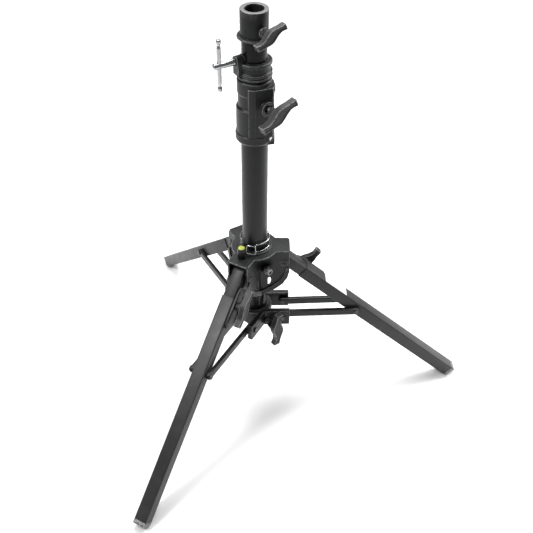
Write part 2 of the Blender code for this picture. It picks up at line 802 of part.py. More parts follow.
def closed_wire(name, points):
    """A closed loop of round wire through the points."""
    curve = bpy.data.curves.new(name, "CURVE")
    curve.dimensions = "3D"
    curve.bevel_depth = CLIP_WIRE
    curve.bevel_resolution = 2
    line = curve.splines.new("POLY")
    line.points.add(len(points) - 1)
    for point, place in zip(line.points, points):
        point.co = (*place, 1.0)
    line.use_cyclic_u = True
    made = bpy.data.objects.new(name, curve)
    PARTS.objects.link(made)
    curve.materials.append(chrome())
    return made


# ---- legs --------------------------------------------------------------------------


def leg_head(number, locked):
    """Bar from the pivot into the leg tube, round at the pivot."""
    half = LEG_HALF - LEG_WALL - GAP
    shape = arc(0.0, 0.0, half, 90, 270, 8) + [(0.098, -half), (0.098, half)]
    body = plate(f"leg_head_{number}", shape, -half, half, leg_grey())
    move(body, Matrix.Rotation(math.radians(90), 4, "X"))
    cut(body, rod("hole", (0, -0.02, 0), (0, 0.02, 0), 0.0043, segments=12))
    if locked:
        cut(body, rod("screw_hole", (LEG_KNOB_X, 0.0, 0), (LEG_KNOB_X, 0.02, 0), 0.0043, segments=12))
    return finish(body)


def rounded_square(half, radius, steps=2):
    """A square outline with round corners."""
    inner = half - radius
    points = []
    for corner, (sx, sy) in enumerate(((1, 1), (-1, 1), (-1, -1), (1, -1))):
        points += arc(sx * inner, sy * inner, radius, corner * 90, corner * 90 + 90, steps)
    return points


def leg_tube(number, locked):
    """Square tube with round corners."""
    outline = rounded_square(LEG_HALF, 0.0022)
    body = plate(f"leg_tube_{number}", outline, LEG_TUBE_START, LEG_TUBE_END, leg_grey())
    inner = LEG_HALF - LEG_WALL
    cut(body, plate("inside", rounded_square(inner, 0.0008), LEG_TUBE_START - 0.01, LEG_TUBE_END + 0.01))
    move(body, STAND_UP)
    if locked:
        cut(body, rod("screw_hole", (LEG_KNOB_X, 0.005, 0), (LEG_KNOB_X, 0.02, 0), 0.0043, segments=12))
    return finish(body)


def foot_cap(number):
    """Cap on the leg's end with a flat sole on the floor and a plug inside the tube."""
    start = LEG_TUBE_END + GAP
    outline = rounded_square(LEG_HALF, 0.0022)
    body = plate(f"foot_cap_{number}", outline, start, LEG_CAP_END, black_plastic())
    plug = LEG_HALF - LEG_WALL - GAP
    join(body, plate("plug", rounded_square(plug, 0.0008), LEG_TUBE_END - 0.040, start + 0.001))
    move(body, STAND_UP)
    slope = math.radians(LEG_SLOPE)
    ground = box("ground", (-0.6, -0.1, -PIVOT_Z - 0.1), (0.6, 0.1, -PIVOT_Z))
    move(ground, Matrix.Rotation(-slope, 4, "Y"))
    cut(body, ground)
    return finish(body)


def clamp_plate(number):
    """Steel plate on the leg's side under its T-knob."""
    shape = [(0.026, -0.0110), (0.090, -0.0140), (0.104, -0.0040), (0.104, 0.0060)]
    shape += [(0.098, 0.0110), (0.036, 0.0110), (0.026, 0.0060)]
    body = plate(f"clamp_plate_{number}", shape, -PLATE_OUT, -PLATE_IN, black_cast())
    move(body, Matrix.Rotation(math.radians(90), 4, "X"))
    cut(body, rod("hole", (LEG_KNOB_X, 0.01, 0), (LEG_KNOB_X, 0.02, 0), 0.0043, segments=12))
    return finish(body)


# ---- braces ------------------------------------------------------------------------


def brace_length_and_angle():
    slope = math.radians(LEG_SLOPE)
    pin_r = PIVOT_R + BRACE_PIN_X * math.cos(slope)
    pin_z = PIVOT_Z - BRACE_PIN_X * math.sin(slope)
    return math.hypot(pin_r - LUG_R, pin_z - LUG_Z), math.atan2(pin_z - LUG_Z, pin_r - LUG_R)


def brace(number, side, letter, length):
    """Flat bar with round ends; x runs from the lug to the leg."""
    shape = arc(0.0, 0.0, BRACE_HALF, 90, 270, 8) + arc(length, 0.0, BRACE_HALF, -90, 90, 8)
    body = upright_plate(f"brace_{number}{letter}", shape, side, BRACE_IN, BRACE_OUT, black_tube())
    cut(body, rod("hole", (0, side * 0.010, 0), (0, side * 0.030, 0), 0.0034, segments=12))
    cut(body, rod("hole", (length, side * 0.010, 0), (length, side * 0.030, 0), 0.0034, segments=12))
    return finish(body)


def brace_bolt(number, side, letter, length):
    """Outer brace bolt: head outside, a washer toward the leg, clear of the leg's side."""
    name = f"brace_bolt_{number}{letter}"
    shank_end = (length, side * (BRACE_OUT + 0.001), 0)
    bolt = rod(name, (length, side * 0.0133, 0), shank_end, 0.0030, black_steel(), 12)
    washer_end = (length, side * (BRACE_IN - GAP), 0)
    join(bolt, rod("washer", (length, side * 0.0129, 0), washer_end, 0.0060, segments=12))
    head_start = (length, side * (BRACE_OUT + GAP), 0)
    join(bolt, rod("head", head_start, (length, side * 0.0232, 0), 0.0052, segments=12))
    return finish(bolt)


# ---- assembly ----------------------------------------------------------------------


def build_column():
    main_tube()
    end_plug()
    lock_casting()
    lock_pad()
    casting_bolt()
    bottom_collar()
    lug_bolts()
    lock_frame = knob_frame("lock_knob_axis", FRONT_KNOB_AZ, LOCK_KNOB_Z, 23.0)
    put_knob(t_knob("lock_knob", 0.073, 0.060, 0.0425, 0.0115, (0.0266, 0.0040)), lock_frame)
    collar_frame = knob_frame("collar_knob_axis", COLLAR_KNOB_AZ, COLLAR_KNOB_Z, 84.0)
    put_knob(t_knob("collar_knob", 0.074, 0.069, 0.0480, 0.0115, (0.0232, 0.0040)), collar_frame)


def build_riser():
    riser = frame_at("riser_slide", (0, 0, RISER_BOTTOM))
    for piece in (riser_tube(), riser_bushing(), socket()):
        move(piece, Matrix.Translation((0, 0, -RISER_BOTTOM)))
        attach(piece, riser)
    socket_frame = knob_frame("socket_knob_axis", SOCKET_KNOB_AZ, SOCKET_KNOB_Z, 23.0)
    put_knob(t_knob("socket_knob", 0.057, 0.041, 0.0266, 0.0100, (0.0152, 0.0040)), socket_frame)


def build_clamp():
    ring = frame_at("clamp_slide", (0, 0, CLAMP_BOTTOM))
    body = clamp_collar()
    move(body, Matrix.Translation((0, 0, -CLAMP_BOTTOM)))
    attach(body, ring)
    screw = knob_frame("clamp_screw_axis", CLAMP_SCREW_AZ, CLAMP_SCREW_Z, 0.0)
    attach(clamp_screw(), screw)
    bar = tommy_bar()
    bar_frame = frame_at("tommy_slide", radial(CLAMP_SCREW_AZ, TOMMY_RADIUS_OUT, CLAMP_SCREW_Z))
    attach(bar, bar_frame)


def build_crown():
    slide = frame_at("crown_slide", (0, 0, CROWN_BOTTOM))
    pieces = [crown()] + level()
    for number, azimuth in enumerate(LEG_AZIMUTHS, 1):
        pieces.append(pivot_bolt(number, azimuth))
    for piece in pieces:
        move(piece, Matrix.Translation((0, 0, -CROWN_BOTTOM)))
        attach(piece, slide)
    attach(crown_screw(), knob_frame("crown_screw_axis", CROWN_SCREW_AZ, CROWN_SCREW_Z, 0.0))
    wire_clip()
    wire_link()


def build_leg(number, azimuth):
    slope = Matrix.Rotation(math.radians(LEG_SLOPE), 4, "Y")
    turn = (about_z(azimuth) @ slope).to_3x3()
    fold = frame_at(f"leg_fold_{number}", radial(azimuth, PIVOT_R, PIVOT_Z), turn)
    locked = number in LEG_KNOB_TILTS
    for piece in (leg_head(number, locked), leg_tube(number, locked), foot_cap(number)):
        attach(piece, fold)
    if locked:
        attach(clamp_plate(number), fold)
        build_leg_knob(number, fold)


def build_leg_knob(number, fold):
    """T-knob on the leg's left side, its screw through plate, tube and head bar."""
    sideways = Matrix.Rotation(math.radians(90), 4, "Z")
    spin = Matrix.Rotation(math.radians(LEG_KNOB_TILTS[number]), 4, "Y")
    knob = t_knob(f"leg_knob_{number}", 0.070, 0.033, PLATE_OUT + GAP, 0.0105)[0]
    join(knob, rod("stem", (0.0030, 0, 0), (0.022, 0, 0), 0.0040, segments=12))
    bpy.context.view_layer.update()
    axis_point = fold.matrix_world @ Vector((LEG_KNOB_X, 0, 0))
    turn = fold.matrix_world.to_3x3() @ spin.to_3x3() @ sideways.to_3x3()
    put_knob([finish(knob)], frame_at(f"leg_knob_axis_{number}", axis_point, turn))


def build_braces(number, azimuth):
    length, angle = brace_length_and_angle()
    tilt = Matrix.Rotation(-angle, 4, "Y")
    turn = (about_z(azimuth) @ tilt).to_3x3()
    swing = frame_at(f"brace_swing_{number}", radial(azimuth, LUG_R, LUG_Z), turn)
    for side, letter in ((-1, "a"), (1, "b")):
        attach(brace(number, side, letter, length), swing)
        attach(brace_bolt(number, side, letter, length), swing)


build_column()
build_riser()
build_clamp()
build_crown()
for leg_number, leg_azimuth in enumerate(LEG_AZIMUTHS, 1):
    build_leg(leg_number, leg_azimuth)
    build_braces(leg_number, leg_azimuth)
for piece in PARTS.objects:
    if piece.parent is None:
        piece.location.x += COLUMN_X
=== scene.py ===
"""Looks of the low lighting stand: a fine model of every CAD node, its materials, light and camera.

The fine pieces are modelled with the column on the Z axis, as the CAD is, and moved to COLUMN_X.
All sizes are metres.
"""
import json
import math

import bmesh
import bpy
from mathutils import Matrix, Vector

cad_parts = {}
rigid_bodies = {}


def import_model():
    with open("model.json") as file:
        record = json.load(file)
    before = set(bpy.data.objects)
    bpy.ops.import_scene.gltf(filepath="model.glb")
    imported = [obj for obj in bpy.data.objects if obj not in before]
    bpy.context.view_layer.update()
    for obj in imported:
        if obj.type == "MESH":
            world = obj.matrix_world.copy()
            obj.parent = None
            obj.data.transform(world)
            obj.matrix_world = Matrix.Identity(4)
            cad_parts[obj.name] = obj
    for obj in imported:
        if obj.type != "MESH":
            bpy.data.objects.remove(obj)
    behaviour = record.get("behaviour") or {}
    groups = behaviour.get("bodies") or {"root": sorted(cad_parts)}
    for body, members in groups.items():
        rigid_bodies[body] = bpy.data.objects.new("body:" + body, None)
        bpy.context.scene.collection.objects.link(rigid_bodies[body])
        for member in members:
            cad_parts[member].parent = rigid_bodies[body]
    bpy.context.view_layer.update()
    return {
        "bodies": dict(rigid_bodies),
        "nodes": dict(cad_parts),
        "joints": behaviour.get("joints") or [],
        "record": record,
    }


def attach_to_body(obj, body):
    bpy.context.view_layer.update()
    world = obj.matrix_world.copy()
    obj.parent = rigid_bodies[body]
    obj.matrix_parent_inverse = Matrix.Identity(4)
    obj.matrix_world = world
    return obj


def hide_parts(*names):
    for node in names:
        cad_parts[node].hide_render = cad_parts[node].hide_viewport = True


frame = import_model()

GAP = 0.0003
BORE_FIT = 0.0006
SOFT = 0.0004
PREFIX = "fine_"

# The column stands here, which puts the middle of the whole footprint on the origin
COLUMN_X = -0.1005

# Column
TUBE_R = 0.0225
TUBE_WALL = 0.0016
TUBE_BOTTOM = 0.170
TUBE_TOP = 0.6397
RISER_R = 0.020
RISER_WALL = 0.0018
RISER_BOTTOM = 0.187
RISER_FIT = 0.0006
BUSHING_TOP = 0.205
BUSHING_BOTTOM = 0.1835
BUSHING_BORE_R = 0.012

# Receiver socket
SOCKET_R = 0.0218
SOCKET_TOP = 0.808
SOCKET_BASE = 0.762
BORE_R = 0.0143
BORE_DEPTH = 0.090
RIM_DEPTH = 0.0004
SOCKET_KNOB_Z = 0.7785
SOCKET_KNOB_AZ = -55.0

# Lock casting
LOCK_BOTTOM = 0.586
LOCK_TOP = 0.697
LOCK_KNOB_Z = 0.655
FRONT_KNOB_AZ = -52.0
LOCK_RECESS = 0.0328
CASTING_BOLT_LINE = (-40, 0.598)

# Clamp collar with the chrome screw
CLAMP_BOTTOM = 0.7003
CLAMP_TOP = 0.728
CLAMP_SCREW_Z = 0.730
CLAMP_SCREW_AZ = -152.0
CLAMP_SCREW_R = 0.0052
TOMMY_RADIUS_OUT = 0.060
TOMMY_HALF = 0.0425
TOMMY_R = 0.0033
TOMMY_BALL_R = 0.0039

# Crown that carries the legs
CROWN_TOP = 0.356
CROWN_PLATE = 0.003
CROWN_BOTTOM = 0.225
CROWN_RING_TOP = 0.360
LOBE_HALF = 0.0206
LOBE_REACH = 0.0645
CROWN_SCREW_AZ = -52.0
CROWN_SCREW_Z = 0.319
LEVEL_AZ = -125.0
LEVEL_OUT = 0.0425
LEVEL_TOP = 0.3785
LEVEL_R = 0.0073
VIAL_R = 0.0065
CHEEK_IN = 0.0175
CHEEK_OUT = 0.0205
CHEEK_LIP = 0.0032
CHEEK_EDGE = [(LOBE_REACH - 0.001, 0.3110), (0.0600, 0.2955), (0.0516, 0.2800), (0.0366, 0.2665)]
CHEEK_ROOT = (0.012, 0.2500)
LIP_ROOT = (0.0150, 0.2520)
LIP_PROUD = 0.0005
PIVOT_R = 0.0535
PIVOT_BOSS_R = 0.0085
RIM_WIDE = 0.0100
PIVOT_Z = 0.330
SLEEVE_R = 0.0243
SLEEVE_BOTTOM = 0.250
FIN_SPREAD = 11.0
FIN_HALF = 0.0013
FIN_OUT = 0.0264
FIN_TOP = 0.325
VALLEYS = (60.0, 180.0, 300.0)
LEG_AZIMUTHS = (0.0, 120.0, 240.0)

# Legs: x along the leg from its pivot, y across it, z out of its upper face
LEG_SLOPE = 41.9
LEG_HALF = 0.0125
LEG_WALL = 0.0015
LEG_TUBE_START = 0.049
LEG_TUBE_END = 0.476
LEG_CAP_END = 0.484
LEG_KNOB_X = 0.0602
LEG_KNOB_TILTS = {1: 90.0, 3: 0.0}
PLATE_IN = LEG_HALF + GAP
PLATE_OUT = PLATE_IN + 0.0045
BRACE_PIN_X = 0.194

# Bottom collar and braces
COLLAR_BOTTOM = 0.178
COLLAR_TOP = 0.210
COLLAR_R = 0.0325
COLLAR_KNOB_Z = 0.190
COLLAR_KNOB_AZ = -53.0
LUG_R = PIVOT_R
LUG_Z = 0.196
EAR_IN = 0.0211
EAR_OUT = 0.0310
EAR_HALF = 0.0172
EAR_REACH = 0.0665
BRACE_IN = 0.0142
BRACE_OUT = 0.0208
BRACE_HALF = 0.007
SHANK_R = 0.0030
SCREW_HOLE_R = 0.0043

# Chrome wire clip round the column
CLIP_R = 0.0262
CLIP_WIRE = 0.0009
CLIP_LOW = CROWN_RING_TOP + GAP + CLIP_WIRE
CLIP_HIGH = CLIP_LOW + 0.0165
LINK_AZ = -104.0
LINK_SPREAD = 15.0
LINK_OUT = 0.0318
LINK_Z = 0.3690
LINK_HALF = 0.0074

# Fineness of turned pieces and of cast and moulded skins
SEGMENTS = 96
CAST_VOXEL = 0.0005
COLLAR_VOXEL = 0.00045
STAND_UP = Matrix.Rotation(math.radians(90), 4, "Y")
ON_EDGE = Matrix.Rotation(math.radians(90), 4, "X")


# ---- materials ---------------------------------------------------------------------


class Look:
    """Builds one node material; coordinates are the object's own, so they ride with the piece."""

    def __init__(self, name):
        self.made = bpy.data.materials.new(name)
        self.made.use_nodes = True
        self.tree = self.made.node_tree
        self.shader = self.tree.nodes["Principled BSDF"]
        self.colour = self.shader.inputs["Base Color"]
        self.roughness = self.shader.inputs["Roughness"]
        self.coords = self.node("ShaderNodeTexCoord").outputs["Object"]

    def node(self, kind, **values):
        made = self.tree.nodes.new(kind)
        for key, value in values.items():
            setattr(made, key, value)
        return made

    def link(self, source, target):
        self.tree.links.new(source, target)

    def noise(self, scale, detail=3.0, roughness=0.5, stretch=None):
        """Noise value over the piece; stretch squeezes it along the axes for brushed marks."""
        made = self.node("ShaderNodeTexNoise")
        made.inputs["Scale"].default_value = scale
        made.inputs["Detail"].default_value = detail
        made.inputs["Roughness"].default_value = roughness
        if stretch:
            mapping = self.node("ShaderNodeMapping")
            mapping.inputs["Scale"].default_value = stretch
            self.link(self.coords, mapping.inputs["Vector"])
            self.link(mapping.outputs["Vector"], made.inputs["Vector"])
        else:
            self.link(self.coords, made.inputs["Vector"])
        return made.outputs["Fac"]

    def spread(self, value, low, high, out_low, out_high):
        """Map a value's range onto another one."""
        made = self.node("ShaderNodeMapRange", clamp=True)
        made.inputs["From Min"].default_value = low
        made.inputs["From Max"].default_value = high
        made.inputs["To Min"].default_value = out_low
        made.inputs["To Max"].default_value = out_high
        self.link(value, made.inputs["Value"])
        return made.outputs["Result"]

    def mix(self, factor, first, second):
        """Mix of two colours, each a tuple or a socket."""
        made = self.node("ShaderNodeMix", data_type="RGBA")
        self.link(factor, made.inputs["Factor"])
        for socket, colour in ((made.inputs[6], first), (made.inputs[7], second)):
            if isinstance(colour, tuple):
                socket.default_value = (*colour, 1.0)
            else:
                self.link(colour, socket)
        return made.outputs[2]

    def times(self, first, second):
        made = self.node("ShaderNodeMath", operation="MULTIPLY")
        self.link(first, made.inputs[0])
        self.link(second, made.inputs[1])
        return made.outputs["Value"]

    def worn_and_lit_edges(self, start, stop):
        """Edges lightened by wear and by a painted highlight: 0 on faces and 1 on the sharpest outer
        edges, broken up by noise.
        """
        pointed = self.node("ShaderNodeNewGeometry").outputs["Pointiness"]
        edge = self.spread(pointed, start, stop, 0.0, 1.0)
        return self.times(edge, self.spread(self.noise(260.0, 4.0, 0.6), 0.34, 0.56, 0.0, 1.0))

    def bump(self, *layers):
        """Chain of bumps, each (height value, distance in metres, strength)."""
        before = None
        for height, distance, strength in layers:
            made = self.node("ShaderNodeBump")
            made.inputs["Distance"].default_value = distance
            made.inputs["Strength"].default_value = strength
            self.link(height, made.inputs["Height"])
            if before:
                self.link(before, made.inputs["Normal"])
            before = made.outputs["Normal"]
        self.link(before, self.shader.inputs["Normal"])

    def set(self, **values):
        for key, value in values.items():
            self.shader.inputs[key.replace("_", " ")].default_value = value


LOOKS = {}

# Range of pointedness over which edges are lightened, partly paint rubbed off and partly a painted
# highlight
PLAIN_EDGES = (0.56, 0.64)

# Scale of the paint's orange peel: larger is finer
TUBE_GRAIN = 1900.0
CAST_GRAIN = 1100.0
LEG_GRAIN = 1500.0
STEEL_GRAIN = 2200.0


def coated(name, dark, light, edge_wear_and_highlight, rough, grain, edge_range=PLAIN_EDGES):
    """Painted metal: fine orange peel, cloudy roughness and lighter edges, partly rubbed thin and
    partly a painted highlight.
    """
    if name in LOOKS:
        return LOOKS[name]
    look = Look(name)
    clouds = look.noise(38.0, 4.0, 0.55)
    base = look.mix(look.spread(clouds, 0.35, 0.68, 0.0, 1.0), dark, light)
    # Edge colour mixed in on sharp edges: worn paint plus a painted highlight along the rims
    worn_and_lit = look.worn_and_lit_edges(*edge_range)
    look.link(look.mix(worn_and_lit, base, edge_wear_and_highlight), look.colour)
    look.link(look.spread(clouds, 0.3, 0.7, rough - 0.05, rough + 0.06), look.roughness)
    peel = look.noise(grain, 2.0, 0.5)
    scuffs = look.noise(120.0, 5.0, 0.62)
    look.bump((peel, 0.00012, 0.35), (scuffs, 0.0002, 0.12))
    look.set(Metallic=0.0, Specular_IOR_Level=0.26)
    LOOKS[name] = look.made
    return look.made


def black_tube():
    dark, light = (0.0050, 0.0053, 0.0056), (0.0080, 0.0083, 0.0086)
    return coated("satin_black_tube", dark, light, (0.05, 0.05, 0.05), 0.34, TUBE_GRAIN)


def riser_black():
    dark, light = (0.0022, 0.0024, 0.0026), (0.0042, 0.0045, 0.0048)
    return coated("riser_black", dark, light, (0.05, 0.05, 0.05), 0.26, TUBE_GRAIN)


def black_cast():
    # The pale edge colour is mostly a painted highlight along the casting's rims, partly worn paint
    dark, light = (0.0100, 0.0104, 0.0108), (0.0155, 0.0160, 0.0165)
    return coated("black_casting", dark, light, (0.20, 0.202, 0.205), 0.40, CAST_GRAIN, (0.506, 0.536))


def plate_cast():
    dark, light = (0.0120, 0.0124, 0.0128), (0.0185, 0.0190, 0.0195)
    return coated("clamp_plate_casting", dark, light, (0.10, 0.10, 0.10), 0.40, CAST_GRAIN)


def leg_grey():
    dark, light = (0.0250, 0.0253, 0.0256), (0.0320, 0.0323, 0.0326)
    return coated("dark_grey_leg", dark, light, (0.06, 0.06, 0.06), 0.40, LEG_GRAIN)


def black_steel():
    dark, light = (0.010, 0.010, 0.010), (0.018, 0.018, 0.018)
    return coated("black_steel", dark, light, (0.14, 0.14, 0.14), 0.36, STEEL_GRAIN)


def blackened_screw():
    # The pale edge colour paints light rings on the head's edges, partly a painted highlight and
    # partly worn blacking
    dark, light, edge_wear_and_highlight = (0.03, 0.03, 0.03), (0.05, 0.05, 0.05), (0.35, 0.35, 0.34)
    return coated("blackened_screw", dark, light, edge_wear_and_highlight, 0.26, STEEL_GRAIN, (0.502, 0.515))


def black_plastic():
    """Moulded plastic with a fine spark-eroded grain."""
    if "plastic" in LOOKS:
        return LOOKS["plastic"]
    look = Look("black_plastic")
    clouds = look.noise(55.0, 4.0, 0.6)
    dark, light = (0.0150, 0.0153, 0.0157), (0.0220, 0.0223, 0.0227)
    base = look.mix(look.spread(clouds, 0.35, 0.7, 0.0, 1.0), dark, light)
    # Grey on the sharpest moulded edges is a painted highlight
    shine = look.mix(look.worn_and_lit_edges(0.506, 0.530), base, (0.26, 0.26, 0.265))
    look.link(shine, look.colour)
    look.link(look.spread(clouds, 0.3, 0.7, 0.46, 0.60), look.roughness)
    grain = look.noise(2600.0, 2.0, 0.5)
    waves = look.noise(150.0, 4.0, 0.6)
    look.bump((grain, 0.00010, 0.5), (waves, 0.0002, 0.10))
    look.set(Specular_IOR_Level=0.45)
    LOOKS["plastic"] = look.made
    return look.made


def bright(name, colour, rough, stretch):
    """Plated steel: faint polishing marks, smears and small pits."""
    if name in LOOKS:
        return LOOKS[name]
    look = Look(name)
    smears = look.noise(90.0, 5.0, 0.6)
    tint = tuple(value * 0.72 for value in colour)
    look.link(look.mix(look.spread(smears, 0.5, 0.75, 0.0, 0.8), colour, tint), look.colour)
    look.link(look.spread(smears, 0.35, 0.7, rough, rough + 0.14), look.roughness)
    marks = look.noise(700.0, 2.0, 0.5, stretch=(1.0, 1.0, stretch))
    look.bump((marks, 0.00005, 0.25), (look.noise(420.0, 3.0, 0.5), 0.0001, 0.10))
    look.set(Metallic=1.0)
    LOOKS[name] = look.made
    return look.made


def chrome():
    return bright("chrome", (0.46, 0.47, 0.48), 0.16, 0.2)


def zinc():
    return bright("zinc_steel", (0.50, 0.50, 0.49), 0.30, 0.3)


def rubbed_rim():
    """Bare aluminium rim, turned, with fine rings."""
    return bright("rubbed_rim", (0.17, 0.17, 0.17), 0.46, 6.0)


def green_vial():
    """Yellow-green liquid vial, two shades mixed by noise."""
    if "vial" in LOOKS:
        return LOOKS["vial"]
    look = Look("green_vial")
    swirl = look.noise(220.0, 2.0, 0.5)
    base = look.mix(look.spread(swirl, 0.35, 0.7, 0.0, 1.0), (0.36, 0.42, 0.06), (0.56, 0.62, 0.14))
    look.link(base, look.colour)
    look.link(look.spread(swirl, 0.3, 0.7, 0.08, 0.16), look.roughness)
    look.set(Coat_Weight=0.6, Coat_Roughness=0.05)
    LOOKS["vial"] = look.made
    return look.made


def label_paper():
    """White vinyl sticker with a soft weave and faint grey smudges."""
    if "label" in LOOKS:
        return LOOKS["label"]
    look = Look("label_vinyl")
    smudge = look.noise(140.0, 4.0, 0.6)
    base = look.mix(look.spread(smudge, 0.45, 0.75, 0.0, 1.0), (0.74, 0.74, 0.73), (0.55, 0.55, 0.55))
    look.link(base, look.colour)
    look.link(look.spread(smudge, 0.3, 0.7, 0.35, 0.5), look.roughness)
    look.bump((look.noise(1800.0, 2.0, 0.5), 0.00008, 0.3))
    LOOKS["label"] = look.made
    return look.made


# ---- shape helpers -----------------------------------------------------------------


def new_collection(name):
    made = bpy.data.collections.new(name)
    bpy.context.scene.collection.children.link(made)
    return made


PARTS = new_collection("fine_pieces")
TOOLS = new_collection("fine_tools")


def place_mesh(name, mesh, colour, collection=None):
    """Link a mesh as an object with one material."""
    made = bpy.data.objects.new(PREFIX + name, mesh)
    (collection or PARTS).objects.link(made)
    mesh.materials.clear()
    mesh.materials.append(colour)
    return made


def soften(work, width, angle=38.0):
    """Round every edge sharper than the angle."""
    flat = math.radians(1.0)
    bmesh.ops.dissolve_limit(work, angle_limit=flat, verts=work.verts, edges=work.edges)
    limit = math.radians(angle)
    shared = [edge for edge in work.edges if len(edge.link_faces) == 2]
    sharp = [edge for edge in shared if edge.calc_face_angle() > limit]
    bmesh.ops.bevel(
        work,
        geom=sharp,
        offset=width,
        offset_type="OFFSET",
        segments=2,
        profile=0.5,
        affect="EDGES",
        clamp_overlap=True,
    )


def from_bmesh(name, work, colour):
    mesh = bpy.data.meshes.new(name)
    work.to_mesh(mesh)
    work.free()
    return place_mesh(name, mesh, colour or black_cast(), TOOLS if colour is None else PARTS)


def box(name, low, high, colour=None, soft=SOFT):
    """A box between two corners, its edges rounded."""
    low, high = Vector(low), Vector(high)
    work = bmesh.new()
    bmesh.ops.create_cube(work, size=1.0)
    bmesh.ops.scale(work, vec=high - low, verts=work.verts)
    bmesh.ops.translate(work, vec=(low + high) / 2, verts=work.verts)
    if soft:
        soften(work, soft)
    return from_bmesh(name, work, colour)


def rod(name, start, end, radius, colour=None, segments=48, end_radius=None, soft=0.0):
    """A cylinder or cone frustum between two points."""
    start, end = Vector(start), Vector(end)
    work = bmesh.new()
    bmesh.ops.create_cone(
        work,
        cap_ends=True,
        segments=segments,
        radius1=radius,
        radius2=radius if end_radius is None else end_radius,
        depth=(end - start).length,
    )
    turn = Vector((0, 0, 1)).rotation_difference(end - start).to_matrix().to_4x4()
    bmesh.ops.transform(work, matrix=Matrix.Translation((start + end) / 2) @ turn, verts=work.verts)
    if soft:
        soften(work, soft, 50.0)
    return from_bmesh(name, work, colour)


def bake(item):
    """Replace an object's mesh with its evaluated one, without modifiers."""
    bpy.context.view_layer.update()
    graph = bpy.context.evaluated_depsgraph_get()
    mesh = bpy.data.meshes.new_from_object(item.evaluated_get(graph), depsgraph=graph)
    item.modifiers.clear()
    item.data = mesh
    return item


def rounded_profile(profile, ring, radius):
    """Replace each corner off the axis by a short arc."""
    made = []
    count = len(profile)
    for i, point in enumerate(profile):
        corner = Vector(point)
        before = Vector(profile[i - 1])
        after = Vector(profile[(i + 1) % count])
        at_end = not ring and i in (0, count - 1)
        if at_end or corner.x < 1e-6:
            made.append(tuple(corner))
            continue
        back = before - corner
        ahead = after - corner
        reach = min(radius, 0.4 * back.length, 0.4 * ahead.length)
        first = corner + back.normalized() * reach
        last = corner + ahead.normalized() * reach
        for step in (0.0, 0.25, 0.5, 0.75, 1.0):
            blend = first.lerp(corner, step).lerp(corner.lerp(last, step), step)
            made.append(tuple(blend))
    return made


def turned(name, profile, colour=None, segments=SEGMENTS, ring=True, soft=SOFT):
    """A turned piece: radius and height pairs, down the outer side first."""
    profile = rounded_profile(profile, ring, soft)
    mesh = bpy.data.meshes.new(name)
    count = len(profile)
    edges = [(i, (i + 1) % count) for i in range(count if ring else count - 1)]
    mesh.from_pydata([(radius, 0.0, height) for radius, height in profile], edges, [])
    made = place_mesh(name, mesh, colour or black_cast(), TOOLS if colour is None else PARTS)
    screw = made.modifiers.new("turn", "SCREW")
    screw.angle = math.tau
    screw.steps = segments
    screw.render_steps = segments
    screw.use_merge_vertices = True
    screw.merge_threshold = 0.000005
    screw.use_smooth_shade = True
    return bake(made)


def plate(name, outline, low, high, colour=None, soft=SOFT):
    """A flat outline in XY between two heights, its rims rounded."""
    work = bmesh.new()
    ring = [work.verts.new((x, y, low)) for x, y in outline]
    face = work.faces.new(ring)
    lifted = bmesh.ops.extrude_face_region(work, geom=[face])["geom"]
    tops = [item for item in lifted if isinstance(item, bmesh.types.BMVert)]
    bmesh.ops.translate(work, vec=(0, 0, high - low), verts=tops)
    bmesh.ops.recalc_face_normals(work, faces=work.faces)
    if soft:
        soften(work, soft)
    return from_bmesh(name, work, colour)


def combine(item, other, operation):
    """Apply one EXACT Boolean and drop the tool."""
    mod = item.modifiers.new(operation.lower(), "BOOLEAN")
    mod.operation = operation
    mod.solver = "EXACT"
    mod.object = other
    bake(item)
    bpy.data.objects.remove(other, do_unlink=True)
    return item


def cut(item, *others):
    for other in others:
        combine(item, other, "DIFFERENCE")
    return item


def join(item, *others):
    for other in others:
        combine(item, other, "UNION")
    return item


def cast(item, voxel, passes):
    """Cast or moulded skin: every edge and inner corner a little rounded."""
    remesh = item.modifiers.new("skin", "REMESH")
    remesh.mode = "VOXEL"
    remesh.voxel_size = voxel
    relax = item.modifiers.new("relax", "SMOOTH")
    relax.factor = 0.5
    relax.iterations = passes
    bake(item)
    item.data.shade_smooth()
    return item


def move(item, matrix):
    """Transform an object's mesh in place."""
    item.data.transform(matrix)
    item.data.update()
    return item


def finish(item, angle=35.0):
    """Smooth shading with sharp edges kept."""
    item.data.shade_smooth()
    item.data.set_sharp_from_angle(angle=math.radians(angle))
    return item


def frame_at(name, location, rotation=None):
    """An empty on a joint's axis; rotation is a matrix, or none for no turn."""
    empty = bpy.data.objects.new(name, None)
    PARTS.objects.link(empty)
    turn = Matrix.Identity(4) if rotation is None else rotation.to_4x4()
    empty.matrix_world = Matrix.Translation(Vector(location)) @ turn
    return empty


def attach(item, parent):
    """Parent a piece that is modelled in the parent's own axes."""
    bpy.context.view_layer.update()
    item.parent = parent
    if item.type == "EMPTY":
        item.matrix_parent_inverse = parent.matrix_world.inverted()
    return item


def about_z(degrees):
    return Matrix.Rotation(math.radians(degrees), 4, "Z")


def radial(azimuth, distance, height):
    angle = math.radians(azimuth)
    return Vector((distance * math.cos(angle), distance * math.sin(angle), height))


def spoke(name, azimuth, height, start, end, radius, colour=None, segments=48, soft=0.0):
    """A rod pointing out from the column, between two distances from its axis."""
    ends = (radial(azimuth, start, height), radial(azimuth, end, height))
    return rod(name, *ends, radius, colour, segments, soft=soft)


def cross_rod(name, x, z, start, end, radius, colour=None, segments=32):
    """A rod along Y at one x and z."""
    return rod(name, (x, start, z), (x, end, z), radius, colour, segments)


def cut_bore(item, low, high, radius):
    """Cut a bore on the column's axis between two heights."""
    return cut(item, rod("bore", (0, 0, low), (0, 0, high), radius, segments=SEGMENTS))


